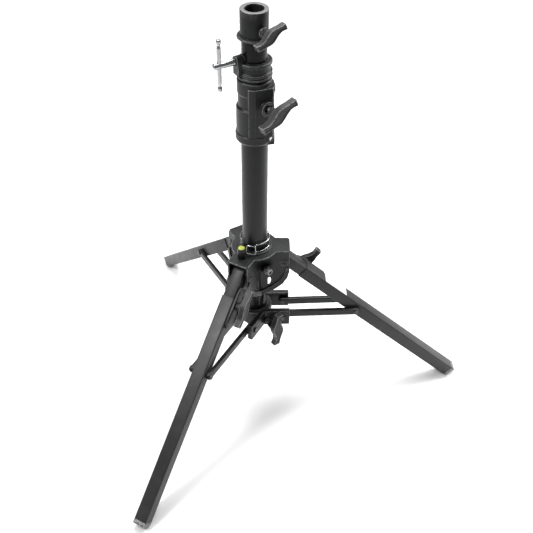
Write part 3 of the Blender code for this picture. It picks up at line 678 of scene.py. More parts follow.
def arc(centre_x, centre_y, radius, start, end, steps):
    """Points of an arc, angles in degrees."""
    points = []
    for i in range(steps + 1):
        angle = math.radians(start + (end - start) * i / steps)
        points.append((centre_x + radius * math.cos(angle), centre_y + radius * math.sin(angle)))
    return points


# ---- T-knob ------------------------------------------------------------------------


def wing_outline(length, bulge, tip, sway, steps=41):
    """S-shaped bow-tie outline: a round middle, narrower necks and wider tips."""
    upper, lower = [], []
    for i in range(steps + 1):
        along = -1.0 + 2.0 * i / steps
        swell = (bulge - tip) * math.exp(-((along / 0.36) ** 2))
        neck = 0.18 * tip * math.exp(-(((abs(along) - 0.66) / 0.22) ** 2))
        width = tip + swell - neck
        centre = sway * math.sin(math.pi * along)
        upper.append((along * length / 2, centre + width / 2))
        lower.append((along * length / 2, centre - width / 2))
    return upper + lower[::-1]


KNOB_VOXEL = 0.0004
KNOB_RIM = 0.0022
KNOB_PANEL_DEPTH = 0.0010


def t_knob(name, length, reach, hub_start, thickness, screw=None):
    """Wing on a hub. Axis +X from the origin; the wing spans Y; returns knob (and screw)."""
    front = reach + thickness / 2
    bulge, tip, sway = length * 0.32, length * 0.185, length * 0.040
    outline = wing_outline(length, bulge, tip, sway)
    wing = plate(name, outline, reach - thickness / 2, front, black_plastic(), soft=0.0008)
    hub = rod("hub", (0, 0, hub_start), (0, 0, reach), length * 0.095, end_radius=length * 0.130)
    join(wing, hub)
    rims = KNOB_RIM * 2
    panel = wing_outline(length - rims, bulge - rims, tip - KNOB_RIM * 1.8, sway)
    cut(wing, plate("panel", panel, front - KNOB_PANEL_DEPTH, front + 0.002))
    move(wing, STAND_UP @ about_z(90))
    pieces = [wing]
    if screw:
        start, radius = screw
        hole_ends = ((hub_start - 0.001, 0, 0), (hub_start + 0.006, 0, 0))
        cut(wing, rod("hole", *hole_ends, radius + GAP, segments=32))
        end = (hub_start + 0.0055, 0, 0)
        stem = rod(name + "_screw", (start, 0, 0), end, radius, zinc(), segments=32)
        pieces.append(stem)
    cast(wing, KNOB_VOXEL, 1)
    for piece in pieces:
        finish(piece)
    return pieces


def put_knob(pieces, frame):
    for piece in pieces:
        attach(piece, frame)


def knob_frame(name, azimuth, height, tilt):
    turn = about_z(azimuth) @ Matrix.Rotation(math.radians(tilt), 4, "X")
    return frame_at(name, (0, 0, height), turn.to_3x3())


# ---- column ------------------------------------------------------------------------


def main_tube():
    inner = TUBE_R - TUBE_WALL
    profile = [(TUBE_R, TUBE_TOP), (TUBE_R, TUBE_BOTTOM), (inner, TUBE_BOTTOM), (inner, TUBE_TOP)]
    return finish(turned("main_tube", profile, black_tube()))


def end_plug():
    inner = TUBE_R - TUBE_WALL - GAP
    low = TUBE_BOTTOM - 0.004
    lip = TUBE_BOTTOM - GAP
    top = TUBE_BOTTOM + 0.012
    profile = [(0.0, top), (inner, top), (inner, lip), (TUBE_R, lip), (TUBE_R, low + 0.0012)]
    profile += [(TUBE_R - 0.0015, low), (0.0, low)]
    return finish(turned("tube_end_plug", profile, black_plastic(), ring=False))


def lock_casting():
    """Clamp casting on the tube top, with its faceted front, boss, ears and seam."""
    profile = [
        (0.0262, LOCK_TOP),
        (0.0279, LOCK_TOP - 0.0015),
        (0.0279, 0.674),
        (0.0266, 0.672),
        (0.0266, 0.6515),
        (0.0296, 0.6475),
        (0.0298, 0.6035),
        (0.0314, 0.6015),
        (0.0314, 0.5905),
        (0.0285, LOCK_BOTTOM),
        (0.0150, LOCK_BOTTOM),
        (0.0150, LOCK_TOP),
    ]
    body = turned("lock_casting", profile, black_cast())
    face = [(-0.0104, -0.0240), (-0.0100, -0.0288), (-0.0050, -0.0305), (0.0010, -0.0311)]
    face += [(0.0290, -0.0222), (0.0312, -0.017)]
    face += [(0.0312, 0.004), (0.027, 0.012), (0.0, 0.012), (-0.006, -0.015)]
    join(body, plate("front_block", face, 0.5935, 0.6890))
    upper_ear = [(0.01, -0.009), (0.0329, -0.009), (0.0329, 0.006), (0.01, 0.006)]
    join(body, plate("ear_top", upper_ear, 0.6755, 0.6835))
    lower_ear = [(0.01, -0.022), (0.0325, -0.018), (0.0325, 0.005), (0.01, 0.005)]
    join(body, plate("ear_low", lower_ear, 0.5845, 0.600))
    knob_line = (FRONT_KNOB_AZ, LOCK_KNOB_Z)
    join(body, spoke("boss", *knob_line, 0.020, 0.0355, 0.0123, segments=64))
    cut(body, spoke("recess", *knob_line, LOCK_RECESS, 0.040, 0.0085))
    cut(body, spoke("pad_hole", *knob_line, 0.0, LOCK_RECESS, 0.0062))
    cut_bore(body, 0.630, 0.705, RISER_R + RISER_FIT)
    cut_bore(body, 0.575, 0.640, TUBE_R + BORE_FIT)
    cut(body, spoke("seat", *CASTING_BOLT_LINE, 0.029, 0.040, 0.0036, segments=16))
    seam = box("seam", (0.0268, -0.0004, 0.580), (0.036, 0.0004, 0.700))
    move(seam, about_z(-109))
    cut(body, seam)
    return finish(cast(body, CAST_VOXEL, 2))


def lock_pad():
    """Brake pad that the lock screw pushes on the riser."""
    inner = RISER_R + 0.0006
    knob_line = (FRONT_KNOB_AZ, LOCK_KNOB_Z)
    pad = spoke("lock_pad", *knob_line, inner - 0.002, 0.0262, 0.0058, zinc(), 20)
    return finish(cut_bore(pad, 0.640, 0.670, inner))


def casting_bolt():
    """Clamp bolt in the lower ear."""
    bolt = spoke("casting_bolt", *CASTING_BOLT_LINE, 0.0293, 0.0345, 0.0033, zinc(), 32)
    return finish(bolt)


def bottom_collar():
    """Collar on the tube's lower end, with two lug ears for each leg."""
    profile = [
        (COLLAR_R - 0.001, COLLAR_TOP),
        (COLLAR_R, COLLAR_TOP - 0.001),
        (COLLAR_R, COLLAR_BOTTOM + 0.003),
        (COLLAR_R - 0.004, COLLAR_BOTTOM),
        (0.015, COLLAR_BOTTOM),
        (0.015, COLLAR_TOP),
    ]
    body = turned("bottom_collar", profile, black_cast())
    low, high = LUG_Z - EAR_HALF, LUG_Z + EAR_HALF
    for azimuth in LEG_AZIMUTHS:
        for side in (-1, 1):
            near, far = sorted((side * EAR_IN, side * EAR_OUT))
            ear = box("ear", (0.012, near, low), (EAR_REACH, far, high))
            move(ear, about_z(azimuth))
            join(body, ear)
            pin = cross_rod("pin", LUG_R, LUG_Z, side * 0.010, side * 0.040, 0.0033)
            move(pin, about_z(azimuth))
            cut(body, pin)
    knob_line = (COLLAR_KNOB_AZ, COLLAR_KNOB_Z)
    join(body, spoke("boss", *knob_line, 0.018, 0.0415, 0.0085))
    cut(body, spoke("screw_hole", *knob_line, 0.0, 0.05, SCREW_HOLE_R))
    cut_bore(body, 0.170, 0.220, TUBE_R + BORE_FIT)
    return finish(cast(body, CAST_VOXEL, 2))


def lug_bolts():
    """Shoulder bolts through each ear and its brace, with a thin inner retainer."""
    made = []
    for number, azimuth in enumerate(LEG_AZIMUTHS, 1):
        for side, letter in ((-1, "a"), (1, "b")):
            name = f"lug_bolt_{number}{letter}"
            line = (LUG_R, LUG_Z)
            shank_end = side * (EAR_OUT + 0.001)
            bolt = cross_rod(name, *line, side * 0.0137, shank_end, SHANK_R, black_steel())
            head_start, head_end = side * (EAR_OUT + GAP), side * (EAR_OUT + 0.0026)
            head = cross_rod("head", *line, head_start, head_end, 0.0052, segments=6)
            clip = cross_rod("clip", *line, side * 0.0131, side * 0.0139, 0.0048)
            join(bolt, head, clip)
            move(bolt, about_z(azimuth))
            made.append(finish(bolt))
    return made


# ---- riser and receiver ------------------------------------------------------------


def riser_tube():
    inner = RISER_R - RISER_WALL
    top = SOCKET_BASE - GAP
    profile = [(RISER_R, top), (RISER_R, RISER_BOTTOM), (inner, RISER_BOTTOM), (inner, top)]
    return finish(turned("riser_tube", profile, riser_black()))


def riser_bushing():
    """Plastic guide under the riser that runs in the main tube."""
    outer = TUBE_R - TUBE_WALL - GAP
    plug = RISER_R - RISER_WALL - GAP
    lip = RISER_BOTTOM - GAP
    profile = [(plug, BUSHING_TOP), (plug, lip), (outer, lip), (outer, BUSHING_BOTTOM)]
    profile += [(BUSHING_BORE_R, BUSHING_BOTTOM), (BUSHING_BORE_R, BUSHING_TOP)]
    return finish(turned("riser_bushing", profile, black_plastic()))


def socket():
    """Receiver: rim, barrel, flange bead and a spigot inside the riser."""
    spigot = RISER_R - RISER_WALL - GAP
    floor = SOCKET_TOP - BORE_DEPTH
    mouth = 0.0152
    profile = [
        (SOCKET_R - 0.0006, SOCKET_TOP),
        (SOCKET_R, SOCKET_TOP - 0.0006),
        (SOCKET_R, SOCKET_BASE + 0.0054),
        (0.0258, SOCKET_BASE + 0.0050),
        (0.0268, SOCKET_BASE + 0.0038),
        (0.0268, SOCKET_BASE + 0.0022),
        (0.0258, SOCKET_BASE + 0.0010),
        (0.0225, SOCKET_BASE),
        (spigot, SOCKET_BASE),
        (spigot, floor - 0.004),
        (0.0, floor - 0.004),
        (0.0, floor),
        (BORE_R, floor),
        (BORE_R, SOCKET_TOP - 0.002),
        (mouth, SOCKET_TOP),
    ]
    body = turned("receiver_socket", profile, black_cast(), ring=True)
    knob_line = (SOCKET_KNOB_AZ, SOCKET_KNOB_Z)
    join(body, spoke("boss", *knob_line, 0.0185, 0.0262, 0.0080))
    cut(body, spoke("screw_hole", *knob_line, 0.0, 0.03, SCREW_HOLE_R))
    body.data.materials.append(rubbed_rim())
    rim = len(body.data.materials) - 1
    for face in body.data.polygons:
        if face.center.z > SOCKET_TOP - RIM_DEPTH:
            face.material_index = rim
    return finish(body)


# ---- clamp collar ------------------------------------------------------------------


def clamp_collar():
    """Ribbed collar that rides on the riser above the lock."""
    profile = [
        (0.0268, CLAMP_TOP),
        (0.0282, CLAMP_TOP - 0.0014),
        (0.0282, CLAMP_TOP - 0.0050),
        (0.0256, CLAMP_TOP - 0.0072),
        (0.0256, 0.7125),
        (0.0283, 0.7105),
        (0.0283, 0.7072),
        (0.0268, 0.7062),
        (0.0268, 0.7048),
        (0.0284, 0.7040),
        (0.0284, 0.7015),
        (0.0272, CLAMP_BOTTOM),
        (0.0150, CLAMP_BOTTOM),
        (0.0150, CLAMP_TOP),
    ]
    body = turned("clamp_collar", profile, black_cast())
    screw_line = (CLAMP_SCREW_AZ, CLAMP_SCREW_Z)
    join(body, spoke("boss", *screw_line, 0.017, 0.0335, 0.0090))
    lug = box("lug", (0.017, -0.0088, 0.7075), (0.0326, 0.0088, CLAMP_SCREW_Z + 0.001))
    join(body, move(lug, about_z(CLAMP_SCREW_AZ)))
    cut(body, spoke("screw_hole", *screw_line, 0.0, 0.05, CLAMP_SCREW_R + 0.0004))
    cut_bore(body, 0.69, 0.75, RISER_R + RISER_FIT)
    return finish(cast(body, COLLAR_VOXEL, 2))


def clamp_screw():
    """Chrome clamp screw with a domed head and a cross hole; along +X from the column axis."""
    profile = [(0.0, 0.0707)]
    for angle in (30, 60, 90):
        bulge = math.radians(angle)
        profile.append((CLAMP_SCREW_R * math.sin(bulge), 0.0682 + 0.0025 * math.cos(bulge)))
    profile += [(CLAMP_SCREW_R, 0.0204), (0.0, 0.0204)]
    body = turned("clamp_screw", profile, chrome(), 48, ring=False)
    move(body, STAND_UP)
    across = ((TOMMY_RADIUS_OUT, 0, -0.01), (TOMMY_RADIUS_OUT, 0, 0.01))
    cut(body, rod("hole", *across, TOMMY_R + GAP))
    return finish(body)


def tommy_bar():
    """Sliding bar through the clamp screw, with a ball at each end."""
    upper = [(0.0, TOMMY_HALF), (0.0030, TOMMY_HALF - 0.0004), (TOMMY_BALL_R, TOMMY_HALF - 0.0022)]
    upper += [(TOMMY_BALL_R, TOMMY_HALF - 0.0060), (0.0026, TOMMY_HALF - 0.0082)]
    upper += [(0.0026, TOMMY_HALF - 0.0100), (TOMMY_R, TOMMY_HALF - 0.0140)]
    lower = [(radius, -height) for radius, height in reversed(upper)]
    return finish(turned("tommy_bar", upper + lower, chrome(), 48, ring=False))


# ---- crown -------------------------------------------------------------------------


def upright_plate(name, shape, side, inner, outer, colour=None):
    """A plate standing along +X, between two distances from the XZ plane on one side of it."""
    low, high = sorted((-side * inner, -side * outer))
    made = plate(name, shape, low, high, colour)
    return move(made, ON_EDGE)


def cheek_plate(side):
    """One upright of a leg seat: thin web, thick rolled rim, a boss round the pivot and a window."""
    under = CROWN_TOP - CROWN_PLATE
    shape = [(CHEEK_ROOT[0], under + 0.001), (LOBE_REACH - 0.001, under + 0.001)]
    cheek = upright_plate("cheek", shape + CHEEK_EDGE + [CHEEK_ROOT], side, CHEEK_IN, CHEEK_OUT)
    lower = [(x + LIP_PROUD, z - LIP_PROUD) for x, z in CHEEK_EDGE + [LIP_ROOT]]
    upper = [(x - RIM_WIDE * 0.6, z + RIM_WIDE * 0.8) for x, z in lower]
    lip_in = CHEEK_IN + LIP_PROUD
    join(cheek, upright_plate("lip", lower + upper[::-1], side, lip_in, CHEEK_OUT + CHEEK_LIP))
    boss_start = (PIVOT_R, side * (CHEEK_IN + 0.001), PIVOT_Z)
    boss_end = (PIVOT_R, side * (CHEEK_OUT + 0.0008), PIVOT_Z)
    join(cheek, rod("boss", boss_start, boss_end, PIVOT_BOSS_R, soft=SOFT))
    window = [(0.0240, 0.2745), (0.0280, 0.2765), (0.0300, 0.2860)]
    window += [(0.0280, 0.2945), (0.0240, 0.2920)]
    return cut(cheek, upright_plate("window", window, side, CHEEK_IN - 0.002, CHEEK_OUT + 0.006))


def crown():
    """Sliding crown: plate with three lobes, cheeks, ribbed sleeve and top ring."""
    profile = [
        (0.0295, CROWN_RING_TOP),
        (0.0310, CROWN_RING_TOP - 0.001),
        (0.0310, CROWN_TOP - 0.0005),
        (0.0300, 0.341),
        (0.0262, 0.333),
        (0.0250, 0.318),
        (SLEEVE_R, SLEEVE_BOTTOM),
        (0.0150, SLEEVE_BOTTOM),
        (0.0150, CROWN_RING_TOP),
    ]
    body = turned("crown", profile, black_cast())
    under = CROWN_TOP - CROWN_PLATE
    join(body, rod("web", (0, 0, under), (0, 0, CROWN_TOP), 0.0430, segments=SEGMENTS, soft=SOFT))
    for azimuth in VALLEYS:
        for side in (-1, 1):
            fin = box("fin", (0.0215, -FIN_HALF, CROWN_BOTTOM), (FIN_OUT, FIN_HALF, FIN_TOP))
            join(body, move(fin, about_z(azimuth + side * FIN_SPREAD)))
    for azimuth in LEG_AZIMUTHS:
        corner = 0.004
        lobe = [(0.010, -LOBE_HALF), (LOBE_REACH - corner, -LOBE_HALF)]
        lobe += [(LOBE_REACH, -LOBE_HALF + corner), (LOBE_REACH, LOBE_HALF - corner)]
        lobe += [(LOBE_REACH - corner, LOBE_HALF), (0.010, LOBE_HALF)]
        join(body, move(plate("lobe", lobe, under, CROWN_TOP), about_z(azimuth)))
        for side in (-1, 1):
            join(body, move(cheek_plate(side), about_z(azimuth)))
        bolt_hole = cross_rod("hole", PIVOT_R, PIVOT_Z, -0.03, 0.03, 0.0045, segments=48)
        cut(body, move(bolt_hole, about_z(azimuth)))
    screw_line = (CROWN_SCREW_AZ, CROWN_SCREW_Z)
    join(body, spoke("boss", *screw_line, 0.018, 0.0365, 0.0085, soft=SOFT))
    cut(body, spoke("screw_hole", *screw_line, 0.0, 0.05, 0.0042))
    cut_bore(body, 0.215, 0.365, TUBE_R + BORE_FIT)
    return finish(cast(body, CAST_VOXEL, 2))


def crown_screw():
    """Ringed lock screw of the crown, along +X from the column axis."""
    profile = [(0.0, 0.0440), (0.0030, 0.0440), (0.0034, 0.0455), (0.0060, 0.0455)]
    profile += [(0.0064, 0.0428), (0.0072, 0.0424), (0.0072, 0.0400), (0.0062, 0.0396)]
    profile += [(0.0062, 0.0388), (0.0074, 0.0384), (0.0074, 0.0372), (0.0036, 0.0372)]
    profile += [(0.0036, 0.0232), (0.0, 0.0232)]
    body = turned("crown_screw", profile, blackened_screw(), 48, ring=False)
    return finish(move(body, STAND_UP))


def pivot_bolt(number, azimuth):
    """Leg pivot: shank through cheeks and leg head, a low socket head at each end."""
    out = CHEEK_OUT + GAP
    reach = out + 0.0003
    end = out + 0.0016
    line = (PIVOT_R, PIVOT_Z)
    bolt = cross_rod(f"pivot_bolt_{number}", *line, -reach, reach, 0.0040, black_steel())
    for side in (-1, 1):
        join(bolt, cross_rod("head", *line, side * out, side * end, 0.0060))
        hollow = (side * (out + 0.0007), side * (end + 0.001))
        cut(bolt, cross_rod("hollow", *line, *hollow, 0.0030, segments=6))
    move(bolt, about_z(azimuth))
    return finish(bolt)


def level():
    """Bubble level: a black cup on the crown and a vial in it."""
    low = CROWN_TOP + GAP
    deep = LEVEL_TOP - 0.008
    profile = [(LEVEL_R, LEVEL_TOP), (LEVEL_R, low), (0.0, low), (0.0, deep)]
    profile += [(VIAL_R, deep), (VIAL_R, LEVEL_TOP)]
    cup = turned("level_cup", profile, black_tube(), 48)
    place = Matrix.Translation(radial(LEVEL_AZ, LEVEL_OUT, 0.0))
    move(cup, place)
    inner = VIAL_R - GAP
    top = LEVEL_TOP + 0.0008
    shape = [(0.0, top), (inner - 0.001, top), (inner, top - 0.001)]
    shape += [(inner, deep + GAP), (0.0, deep + GAP)]
    vial = turned("level_vial", shape, green_vial(), 48, ring=False)
    move(vial, place)
    return [finish(cup), finish(vial)]


def clip_point(azimuth, height):
    return radial(azimuth, CLIP_R, height)


def wire_clip():
    """Spring clip of one wire: two levels round the column, joined by a U-bend at each end."""
    start, end, steps = -84.0, 205.0, 72
    bend = 4.0
    points = [clip_point(start + (end - start) * i / steps, CLIP_HIGH) for i in range(steps + 1)]
    high, low = CLIP_HIGH - 0.003, CLIP_LOW + 0.003
    points += [clip_point(end + bend, high), clip_point(end + bend, low)]
    points += [clip_point(end + (start - end) * i / steps, CLIP_LOW) for i in range(steps + 1)]
    points += [clip_point(start - bend, low), clip_point(start - bend, high)]
    return closed_wire("wire_clip", points)


def wire_link():
    """Oval link beside the clip, leaning out over the crown's ring."""
    points = []
    for i in range(48):
        turn = math.tau * i / 48
        across = max(-1.0, min(1.0, 1.35 * math.cos(turn)))
        height = max(-1.0, min(1.0, 1.35 * math.sin(turn)))
        out = LINK_OUT - 0.0024 * height
        points.append(radial(LINK_AZ + LINK_SPREAD * across, out, LINK_Z + LINK_HALF * height))
    return closed_wire("wire_link", points)


def closed_wire(name, points):
    """A closed loop of round wire through the points."""
    curve = bpy.data.curves.new(name, "CURVE")
    curve.dimensions = "3D"
    curve.bevel_depth = CLIP_WIRE
    curve.bevel_resolution = 6
    line = curve.splines.new("POLY")
    line.points.add(len(points) - 1)
    for point, place in zip(line.points, points):
        point.co = (*place, 1.0)
    line.use_cyclic_u = True
    made = bpy.data.objects.new(PREFIX + name, curve)
    PARTS.objects.link(made)
    curve.materials.append(chrome())
    return made


# ---- legs --------------------------------------------------------------------------


def leg_head(number, locked):
    """Bar from the pivot into the leg tube, round at the pivot."""
    half = LEG_HALF - LEG_WALL - GAP
    shape = arc(0.0, 0.0, half, 90, 270, 24) + [(0.098, -half), (0.098, half)]
    body = plate(f"leg_head_{number}", shape, -half, half, leg_grey())
    move(body, ON_EDGE)
    cut(body, cross_rod("hole", 0, 0, -0.02, 0.02, SCREW_HOLE_R))
    if locked:
        cut(body, cross_rod("screw_hole", LEG_KNOB_X, 0, 0.0, 0.02, SCREW_HOLE_R))
    return finish(body)


def rounded_square(half, radius, steps=8):
    """A square outline with round corners."""
    inner = half - radius
    points = []
    for corner, (sx, sy) in enumerate(((1, 1), (-1, 1), (-1, -1), (1, -1))):
        points += arc(sx * inner, sy * inner, radius, corner * 90, corner * 90 + 90, steps)
    return points


def leg_tube(number, locked):
    """Square tube with round corners."""
    outline = rounded_square(LEG_HALF, 0.0022)
    body = plate(f"leg_tube_{number}", outline, LEG_TUBE_START, LEG_TUBE_END, leg_grey())
    inner = rounded_square(LEG_HALF - LEG_WALL, 0.0008)
    cut(body, plate("inside", inner, LEG_TUBE_START - 0.01, LEG_TUBE_END + 0.01))
    move(body, STAND_UP)
    if locked:
        cut(body, cross_rod("screw_hole", LEG_KNOB_X, 0, 0.005, 0.02, SCREW_HOLE_R))
    return finish(body)


def foot_cap(number):
    """Cap on the leg's end with a flat sole on the floor and a plug inside the tube."""
    start = LEG_TUBE_END + GAP
    outline = rounded_square(LEG_HALF, 0.0022)
    body = plate(f"foot_cap_{number}", outline, start, LEG_CAP_END, black_plastic())
    plug = LEG_HALF - LEG_WALL - GAP
    join(body, plate("plug", rounded_square(plug, 0.0008), LEG_TUBE_END - 0.040, start + 0.001))
    move(body, STAND_UP)
    slope = math.radians(LEG_SLOPE)
    ground = box("ground", (-0.6, -0.1, -PIVOT_Z - 0.1), (0.6, 0.1, -PIVOT_Z))
    move(ground, Matrix.Rotation(-slope, 4, "Y"))
    cut(body, ground)
    return finish(body)


def clamp_plate(number):
    """Steel plate on the leg's side under its T-knob."""
    shape = [(0.026, -0.0110), (0.090, -0.0140), (0.104, -0.0040), (0.104, 0.0060)]
    shape += [(0.098, 0.0110), (0.036, 0.0110), (0.026, 0.0060)]
    body = plate(f"clamp_plate_{number}", shape, -PLATE_OUT, -PLATE_IN, plate_cast())
    move(body, ON_EDGE)
    cut(body, cross_rod("hole", LEG_KNOB_X, 0, 0.01, 0.02, SCREW_HOLE_R))
    return finish(body)


# ---- braces ------------------------------------------------------------------------


def brace_length_and_angle():
    slope = math.radians(LEG_SLOPE)
    pin_r = PIVOT_R + BRACE_PIN_X * math.cos(slope)
    pin_z = PIVOT_Z - BRACE_PIN_X * math.sin(slope)
    return math.hypot(pin_r - LUG_R, pin_z - LUG_Z), math.atan2(pin_z - LUG_Z, pin_r - LUG_R)


def brace(number, side, letter, length):
    """Flat bar with round ends; x runs from the lug to the leg."""
    shape = arc(0.0, 0.0, BRACE_HALF, 90, 270, 24) + arc(length, 0.0, BRACE_HALF, -90, 90, 24)
    body = upright_plate(f"brace_{number}{letter}", shape, side, BRACE_IN, BRACE_OUT, black_tube())
    for x in (0, length):
        cut(body, cross_rod("hole", x, 0, side * 0.010, side * 0.030, 0.0034))
    return finish(body)


def brace_bolt(number, side, letter, length):
    """Outer brace bolt: head outside, a washer toward the leg, clear of the leg's side."""
    name = f"brace_bolt_{number}{letter}"
    line = (length, 0)
    shank_end = side * (BRACE_OUT + 0.001)
    bolt = cross_rod(name, *line, side * 0.0133, shank_end, SHANK_R, black_steel())
    join(bolt, cross_rod("washer", *line, side * 0.0129, side * (BRACE_IN - GAP), 0.0060))
    join(bolt, cross_rod("head", *line, side * (BRACE_OUT + GAP), side * 0.0232, 0.0052))
    return finish(bolt)


# ---- assembly ----------------------------------------------------------------------


def build_column():
    main_tube()
    end_plug()
    lock_casting()
    lock_pad()
    casting_bolt()
    bottom_collar()
    lug_bolts()
    lock_frame = knob_frame("lock_knob_axis", FRONT_KNOB_AZ, LOCK_KNOB_Z, 23.0)
    put_knob(t_knob("lock_knob", 0.073, 0.060, 0.0425, 0.0115, (0.0266, 0.0040)), lock_frame)
    collar_frame = knob_frame("collar_knob_axis", COLLAR_KNOB_AZ, COLLAR_KNOB_Z, 84.0)
    put_knob(t_knob("collar_knob", 0.074, 0.069, 0.0480, 0.0115, (0.0232, 0.0040)), collar_frame)


def build_riser():
    riser = frame_at("riser_slide", (0, 0, RISER_BOTTOM))
    for piece in (riser_tube(), riser_bushing(), socket()):
        move(piece, Matrix.Translation((0, 0, -RISER_BOTTOM)))
        attach(piece, riser)
    socket_frame = knob_frame("socket_knob_axis", SOCKET_KNOB_AZ, SOCKET_KNOB_Z, 23.0)
    put_knob(t_knob("socket_knob", 0.057, 0.041, 0.0266, 0.0100, (0.0152, 0.0040)), socket_frame)


def build_clamp():
    ring = frame_at("clamp_slide", (0, 0, CLAMP_BOTTOM))
    body = clamp_collar()
    move(body, Matrix.Translation((0, 0, -CLAMP_BOTTOM)))
    attach(body, ring)
    screw = knob_frame("clamp_screw_axis", CLAMP_SCREW_AZ, CLAMP_SCREW_Z, 0.0)
    attach(clamp_screw(), screw)
    bar = tommy_bar()
    bar_frame = frame_at("tommy_slide", radial(CLAMP_SCREW_AZ, TOMMY_RADIUS_OUT, CLAMP_SCREW_Z))
    attach(bar, bar_frame)


def build_crown():
    slide = frame_at("crown_slide", (0, 0, CROWN_BOTTOM))
    pieces = [crown()] + level()
    for number, azimuth in enumerate(LEG_AZIMUTHS, 1):
        pieces.append(pivot_bolt(number, azimuth))
    for piece in pieces:
        move(piece, Matrix.Translation((0, 0, -CROWN_BOTTOM)))
        attach(piece, slide)
    attach(crown_screw(), knob_frame("crown_screw_axis", CROWN_SCREW_AZ, CROWN_SCREW_Z, 0.0))
    wire_clip()
    wire_link()


def build_leg(number, azimuth):
    slope = Matrix.Rotation(math.radians(LEG_SLOPE), 4, "Y")
    turn = (about_z(azimuth) @ slope).to_3x3()
    fold = frame_at(f"leg_fold_{number}", radial(azimuth, PIVOT_R, PIVOT_Z), turn)
    locked = number in LEG_KNOB_TILTS
    for piece in (leg_head(number, locked), leg_tube(number, locked), foot_cap(number)):
        attach(piece, fold)
    if locked:
        attach(clamp_plate(number), fold)
        build_leg_knob(number, fold)


def build_leg_knob(number, fold):
    """T-knob on the leg's left side, its screw through plate, tube and head bar."""
    sideways = Matrix.Rotation(math.radians(90), 4, "Z")
    spin = Matrix.Rotation(math.radians(LEG_KNOB_TILTS[number]), 4, "Y")
    knob = t_knob(f"leg_knob_{number}", 0.070, 0.033, PLATE_OUT + GAP, 0.0105)[0]
    join(knob, rod("stem", (0.0030, 0, 0), (0.022, 0, 0), 0.0040, segments=32))
    bpy.context.view_layer.update()
    axis_point = fold.matrix_world @ Vector((LEG_KNOB_X, 0, 0))
    turn = fold.matrix_world.to_3x3() @ spin.to_3x3() @ sideways.to_3x3()
    put_knob([finish(knob)], frame_at(f"leg_knob_axis_{number}", axis_point, turn))


def build_braces(number, azimuth):
    length, angle = brace_length_and_angle()
    tilt = Matrix.Rotation(-angle, 4, "Y")
    turn = (about_z(azimuth) @ tilt).to_3x3()
    swing = frame_at(f"brace_swing_{number}", radial(azimuth, LUG_R, LUG_Z), turn)
    for side, letter in ((-1, "a"), (1, "b")):
        attach(brace(number, side, letter, length), swing)
        attach(brace_bolt(number, side, letter, length), swing)


build_column()
build_riser()
build_clamp()
build_crown()
for leg_number, leg_azimuth in enumerate(LEG_AZIMUTHS, 1):
    build_leg(leg_number, leg_azimuth)
    build_braces(leg_number, leg_azimuth)


# ---- onto the frame ----------------------------------------------------------------


LABEL_START = 0.098
LABEL_END = 0.155
LABEL_THICK = 0.00015


def label_strip():
    """Blank white sticker over the upper face of leg 1."""
    low = LEG_HALF + 0.00004
    half = LEG_HALF - 0.0012
    outline = []
    corner = 0.0015
    for x, y, start in (
        (LABEL_END - corner, half - corner, 0),
        (LABEL_START + corner, half - corner, 90),
        (LABEL_START + corner, corner - half, 180),
        (LABEL_END - corner, corner - half, 270),
    ):
        outline += arc(x, y, corner, start, start + 90, 6)
    strip = plate("label_1", outline, low, low + LABEL_THICK, label_paper(), soft=0.00003)
    return finish(strip)


def settle(piece):
    """Move a piece from the modelling place into the frame, at rest, with nothing on it."""
    place = Matrix.Translation((COLUMN_X, 0, 0)) @ piece.matrix_world
    piece.parent = None
    piece.matrix_parent_inverse = Matrix.Identity(4)
    piece.matrix_world = Matrix.Identity(4)
    piece.data = piece.data.copy()
    piece.data.transform(place)


def seat_pieces():
    body_of = {}
    for body, nodes in frame["record"]["behaviour"]["bodies"].items():
        for node in nodes:
            body_of[node] = body
    bpy.context.view_layer.update()
    pieces = [item for item in PARTS.objects if item.type in ("MESH", "CURVE")]
    helpers = [item for item in PARTS.objects if item.type == "EMPTY"]
    for piece in pieces:
        settle(piece)
    for piece in pieces:
        node = piece.name[len(PREFIX):]
        if node in body_of:
            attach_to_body(piece, body_of[node])
            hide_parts(node)
    for helper in helpers:
        bpy.data.objects.remove(helper, do_unlink=True)
    return {piece.name[len(PREFIX):]: piece for piece in pieces}


label = label_strip()
attach(label, bpy.data.objects["leg_fold_1"])
fine = seat_pieces()
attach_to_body(fine["label_1"], "leg_1")


# ---- stage, light and camera -------------------------------------------------------

CAMERA_PLACE = (COLUMN_X - 0.0078, -1.1181, 1.2960)
CAMERA_RIGHT = (0.99978, -0.01981, 0.00741)
CAMERA_UP = (0.00762, 0.66412, 0.74759)
IMAGE_SIDE = 533.0
FOCAL_LENGTH = 794.4
SENSOR = 36.0
WORLD_LIGHT = 0.18


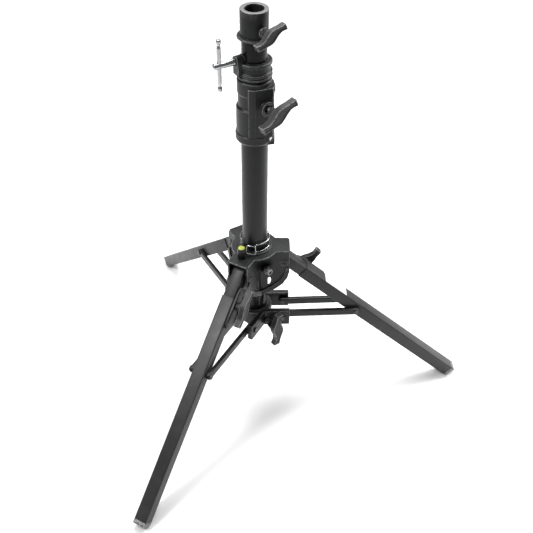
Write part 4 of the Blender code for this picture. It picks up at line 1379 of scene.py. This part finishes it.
def add_camera():
    data = bpy.data.cameras.new("camera")
    data.sensor_width = SENSOR
    data.lens = FOCAL_LENGTH / IMAGE_SIDE * SENSOR
    data.clip_start = 0.05
    data.clip_end = 20.0
    made = bpy.data.objects.new("camera", data)
    bpy.context.scene.collection.objects.link(made)
    right = Vector(CAMERA_RIGHT).normalized()
    back = right.cross(Vector(CAMERA_UP)).normalized()
    up = back.cross(right)
    turn = Matrix((right, up, back)).transposed().to_4x4()
    made.matrix_world = Matrix.Translation(CAMERA_PLACE) @ turn
    bpy.context.scene.camera = made


def add_floor():
    """A flat pale floor of matt paper."""
    size = 6.0
    work = bmesh.new()
    bmesh.ops.create_grid(work, x_segments=8, y_segments=8, size=size)
    mesh = bpy.data.meshes.new("floor")
    work.to_mesh(mesh)
    work.free()
    made = bpy.data.objects.new("floor", mesh)
    bpy.context.scene.collection.objects.link(made)
    look = Look("floor_paper")
    soft = look.noise(1.3, 2.0, 0.5)
    look.link(look.mix(soft, (0.86, 0.86, 0.86), (0.90, 0.90, 0.90)), look.colour)
    look.set(Roughness=0.9, Specular_IOR_Level=0.1)
    mesh.materials.append(look.made)


def add_light(name, place, target, size, watts):
    data = bpy.data.lights.new(name, "AREA")
    data.shape = "RECTANGLE"
    data.size, data.size_y = size
    data.energy = watts
    made = bpy.data.objects.new(name, data)
    bpy.context.scene.collection.objects.link(made)
    made.location = place
    made.rotation_euler = (Vector(target) - Vector(place)).to_track_quat("-Z", "Y").to_euler()


def add_world():
    world = bpy.data.worlds.new("studio")
    bpy.context.scene.world = world
    world.use_nodes = True
    shade = world.node_tree.nodes["Background"]
    shade.inputs["Color"].default_value = (1.0, 1.0, 1.0, 1.0)
    shade.inputs["Strength"].default_value = WORLD_LIGHT


add_camera()
add_floor()
middle = (COLUMN_X, 0.0, 0.35)
add_light("key", (-1.3, -0.6, 2.0), middle, (0.35, 0.9), 34.0)
add_light("rim", (1.5, 0.8, 1.5), middle, (0.35, 1.2), 34.0)
add_light("top", (0.0, 0.9, 2.7), middle, (2.2, 1.8), 100.0)
bpy.context.scene.view_settings.view_transform = "Standard"
add_world()


def flat(bounds):
    return [list(corner) for corner in bounds]
